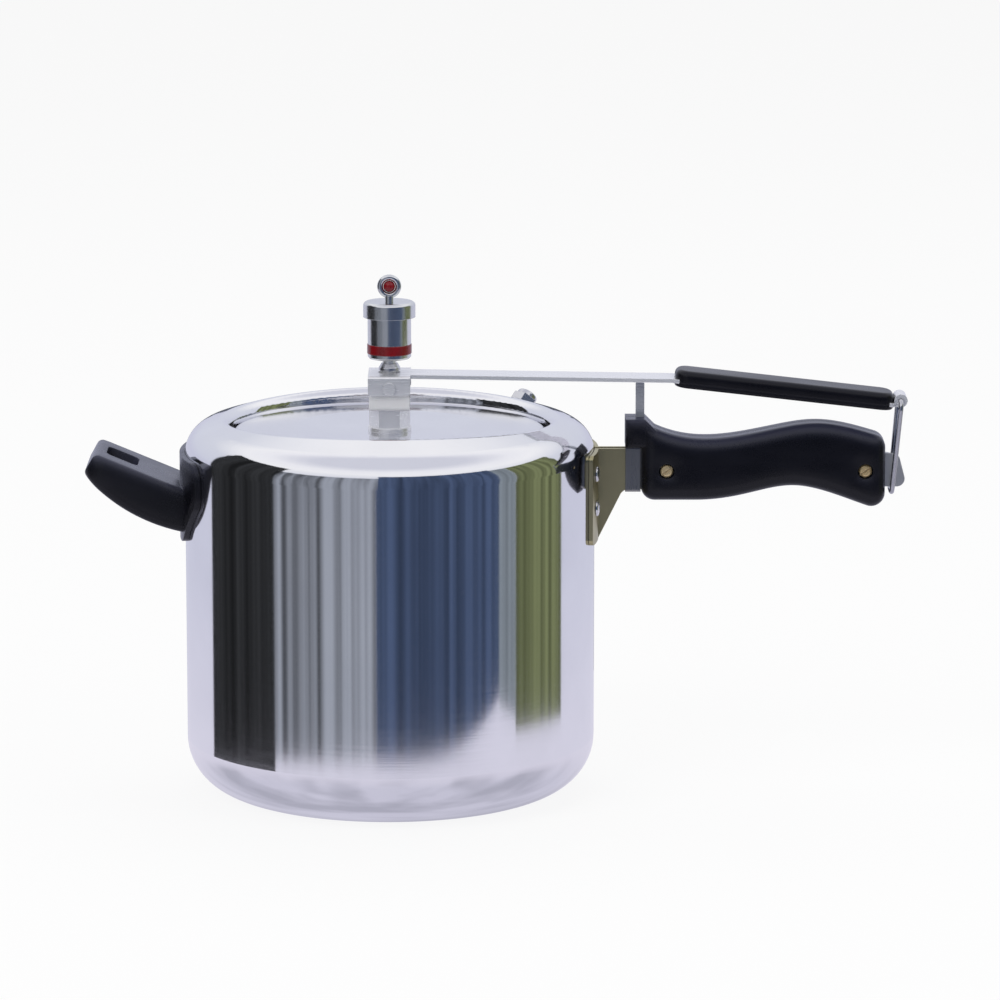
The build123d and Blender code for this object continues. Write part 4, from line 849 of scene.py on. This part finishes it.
@dataclass
class Studio:
    """White floor and surroundings, soft lamps, cards for the metal, and the camera."""

    aim: Point = (0.0560, 0.0, 0.1489)
    distance: float = 3.0
    elevation: float = 11.0
    frame_width: float = 0.509
    sensor: float = 36.0
    clip_end: float = 100.0
    floor_size: float = 24.0
    floor_drop: float = 0.0002
    floor_white: float = 0.88
    floor_colour: Colour = (0.86, 0.86, 0.87)
    fill: Colour = (0.52, 0.52, 0.52)
    card_distance: float = 1.5
    card_middle: float = 0.1
    card_columns: int = 24
    fold_stretch: Point = (1.0, 1.0, 0.02)
    fold_scale: float = 9.0
    fold_detail: float = 4.0
    fold_reach: Span = (0.38, 0.62)
    surround: tuple[tuple[float, Colour], ...] = (
        (0.00, (0.62, 0.61, 0.72)),
        (1.00, (0.68, 0.69, 0.77)),
        (0.22, (0.63, 0.62, 0.73)),
        (0.34, (0.72, 0.70, 0.81)),
        (0.38, (0.74, 0.72, 0.83)),
        (0.40, (0.62, 0.63, 0.75)),
        (0.50, (0.60, 0.61, 0.74)),
        (0.58, (0.66, 0.68, 0.78)),
        (0.72, (0.70, 0.72, 0.80)),
        (0.84, (0.94, 0.94, 0.96)),
        (0.90, (0.90, 0.90, 0.94)),
        (0.96, (0.68, 0.69, 0.77)),
    )
    patch_scale: Point = (1.9, 1.9, 0.3)
    patch_rise: Span = (-0.42, -0.30)
    patch_share: float = 0.6
    patch_reach: Span = (0.40, 0.62)
    patch_colour: Colour = (0.34, 0.34, 0.41)
    cards: tuple[Card, ...] = (
        Card("charcoal_card", -90.0, 50.0, 40.0, (0.024, 0.025, 0.027), 0.55, foot=(-15.8, -15.8)),
        Card("curtain_card", -35.8, 58.4, 30.0, (0.205, 0.220, 0.255), 0.70, foot=(-15.1, -14.85)),
        Card("slate_card", 28.0, 69.0, 36.0, (0.050, 0.072, 0.132), 0.50, foot=(-14.9, -13.4), sweep=3.5),
        Card("grey_card", 67.9, 10.8, 34.0, (0.230, 0.265, 0.300), 0.30, foot=(-13.6, -14.0)),
        Card("olive_card", 91.7, 36.6, 34.0, (0.150, 0.170, 0.085), 0.50, foot=(-14.4, -14.4)),
        Card("rear_card", 180.0, 20.0, 3.0, (0.10, 0.11, 0.14), 0.50),
    )
    lamps: tuple[Lamp, ...] = (
        Lamp("key_lamp", (-1.3, -1.7, 1.9), 1.6, 26.0),
        Lamp("side_lamp", (1.9, -1.2, 1.2), 1.4, 12.0),
        Lamp("top_lamp", (0.2, 0.9, 2.2), 1.8, 16.0),
    )

    def build(self) -> None:
        """Set up the studio in order."""
        scene = bpy.context.scene
        scene.view_settings.view_transform = "Standard"
        self._surroundings(scene)
        self._floor()
        for card in self.cards:
            self._card(card)
        for lamp in self.lamps:
            self._lamp(lamp)
        self._camera(scene)

    def _surroundings(self, scene: bpy.types.Scene) -> None:
        """White for the camera, a pale tent for polished metal, soft fill for the rest.

        Args:
            scene: The scene to light.
        """
        world = bpy.data.worlds.new("studio")
        world.use_nodes = True
        scene.world = world
        board = Board(world.node_tree)
        direction = board.add("ShaderNodeTexCoord").outputs["Generated"]
        rise = board.parts(direction)[2]
        tent = board.gradient(board.ramp(rise, (0.0, 1.0), (-1.0, 1.0)), self.surround)
        patches = board.noise(board.stretched(direction, self.patch_scale), 1.0)
        dim = board.ramp(patches, (0.0, self.patch_share), self.patch_reach)
        low = board.ramp(rise, (1.0, 0.0), self.patch_rise)
        mirrored = board.mix(board.calc("MULTIPLY", low, dim), tent, self.patch_colour)
        rays = board.add("ShaderNodeLightPath")
        lit = board.mix(rays.outputs["Is Glossy Ray"], self.fill, mirrored)
        light = board.add("ShaderNodeBackground")
        board.join(board.mix(rays.outputs["Is Camera Ray"], lit, WHITE), light.inputs["Color"])
        output = board.add("ShaderNodeOutputWorld")
        board.join(light.outputs[0], output.inputs["Surface"])

    def _floor(self) -> None:
        """White floor that keeps a faint shadow of the object."""
        deselect()
        bpy.ops.mesh.primitive_plane_add(size=self.floor_size, location=(0, 0, -self.floor_drop))
        floor = bpy.context.object
        floor.name = "floor"
        floor.visible_glossy = False
        material = bpy.data.materials.new("white_floor")
        material.use_nodes = True
        board = Board(material.node_tree)
        rays = board.add("ShaderNodeLightPath")
        matt = board.add("ShaderNodeBsdfDiffuse")
        matt.inputs["Color"].default_value = (*self.floor_colour, 1.0)
        white = board.add("ShaderNodeEmission")
        white.inputs["Color"].default_value = (*WHITE, 1.0)
        mix = board.add("ShaderNodeMixShader")
        board.join(board.calc("MULTIPLY", rays.outputs["Is Camera Ray"], self.floor_white), mix.inputs[0])
        board.join(matt.outputs[0], mix.inputs[1])
        board.join(white.outputs[0], mix.inputs[2])
        output = board.add("ShaderNodeOutputMaterial")
        board.join(mix.outputs[0], output.inputs["Surface"])
        floor.data.materials.append(material)

    def _card(self, card: Card) -> None:
        """Stand one card up around the object.

        Args:
            card: The card.
        """
        left, right, top = (self.card_middle + self.card_distance * math.tan(math.radians(rise))
                            for rise in (*card.foot, card.top))
        deselect()
        bpy.ops.mesh.primitive_grid_add(x_subdivisions=self.card_columns, y_subdivisions=1, size=2.0)
        plane = bpy.context.object
        plane.name = card.name
        for corner in plane.data.vertices:
            share = (corner.co.x + 1.0) / 2.0
            turn = math.radians(card.bearing + (share - 0.5) * card.spread)
            height = top if corner.co.y > 0 else left + share ** card.sweep * (right - left)
            corner.co = (self.card_distance * math.sin(turn), -self.card_distance * math.cos(turn), height)
        plane.visible_camera = False
        plane.visible_diffuse = False
        plane.visible_shadow = False
        plane.visible_transmission = False
        plane.data.materials.append(self._cloth(card))

    def _cloth(self, card: Card) -> bpy.types.Material:
        """Make the glow of a card, with its upright folds.

        Args:
            card: The card.

        Returns:
            Its material.
        """
        material = bpy.data.materials.new(card.name)
        material.use_nodes = True
        board = Board(material.node_tree)
        place = board.stretched(board.place(), self.fold_stretch)
        folds = board.ramp(board.noise(place, self.fold_scale, self.fold_detail), (0.0, 1.0), self.fold_reach)
        dark, pale = (tuple(channel * (1.0 + way * card.folds) for channel in card.colour) for way in (-1, 1))
        glow = board.add("ShaderNodeEmission")
        board.join(board.mix(folds, dark, pale), glow.inputs["Color"])
        output = board.add("ShaderNodeOutputMaterial")
        board.join(glow.outputs[0], output.inputs["Surface"])
        return material

    def _lamp(self, lamp: Lamp) -> None:
        """Hang a soft lamp that points at the object.

        Args:
            lamp: The lamp.
        """
        data = bpy.data.lights.new(lamp.name, "AREA")
        data.size = lamp.size
        data.energy = lamp.power
        hung = bpy.data.objects.new(lamp.name, data)
        bpy.context.scene.collection.objects.link(hung)
        hung.location = lamp.place
        hung.rotation_mode = "QUATERNION"
        hung.rotation_quaternion = (Vector(self.aim) - Vector(lamp.place)).to_track_quat("-Z", "Y")
        hung.visible_glossy = False

    def _camera(self, scene: bpy.types.Scene) -> None:
        """Place the camera where the photograph was taken from.

        Args:
            scene: The scene to look at.
        """
        data = bpy.data.cameras.new("camera")
        data.sensor_width = self.sensor
        data.lens = self.sensor * self.distance / self.frame_width
        data.clip_end = self.clip_end
        camera = bpy.data.objects.new("camera", data)
        scene.collection.objects.link(camera)
        lift = math.radians(self.elevation)
        back = Vector((0.0, -math.cos(lift), math.sin(lift)))
        camera.location = Vector(self.aim) + back * self.distance
        camera.rotation_mode = "QUATERNION"
        camera.rotation_quaternion = (-back).to_track_quat("-Z", "Y")
        scene.camera = camera


def main() -> None:
    """Build each sub-assembly in order, then the studio."""
    logging.basicConfig(level=logging.INFO, format="%(message)s")
    finishes = Finishes()
    for part in (PotShell, LongHandle, HelperHandle, LidSet, LeverSet, SteamWeight):
        part(finishes).build()
        LOG.info("built %s", part.__name__)
    Studio().build()


if __name__ == "__main__":
    main()
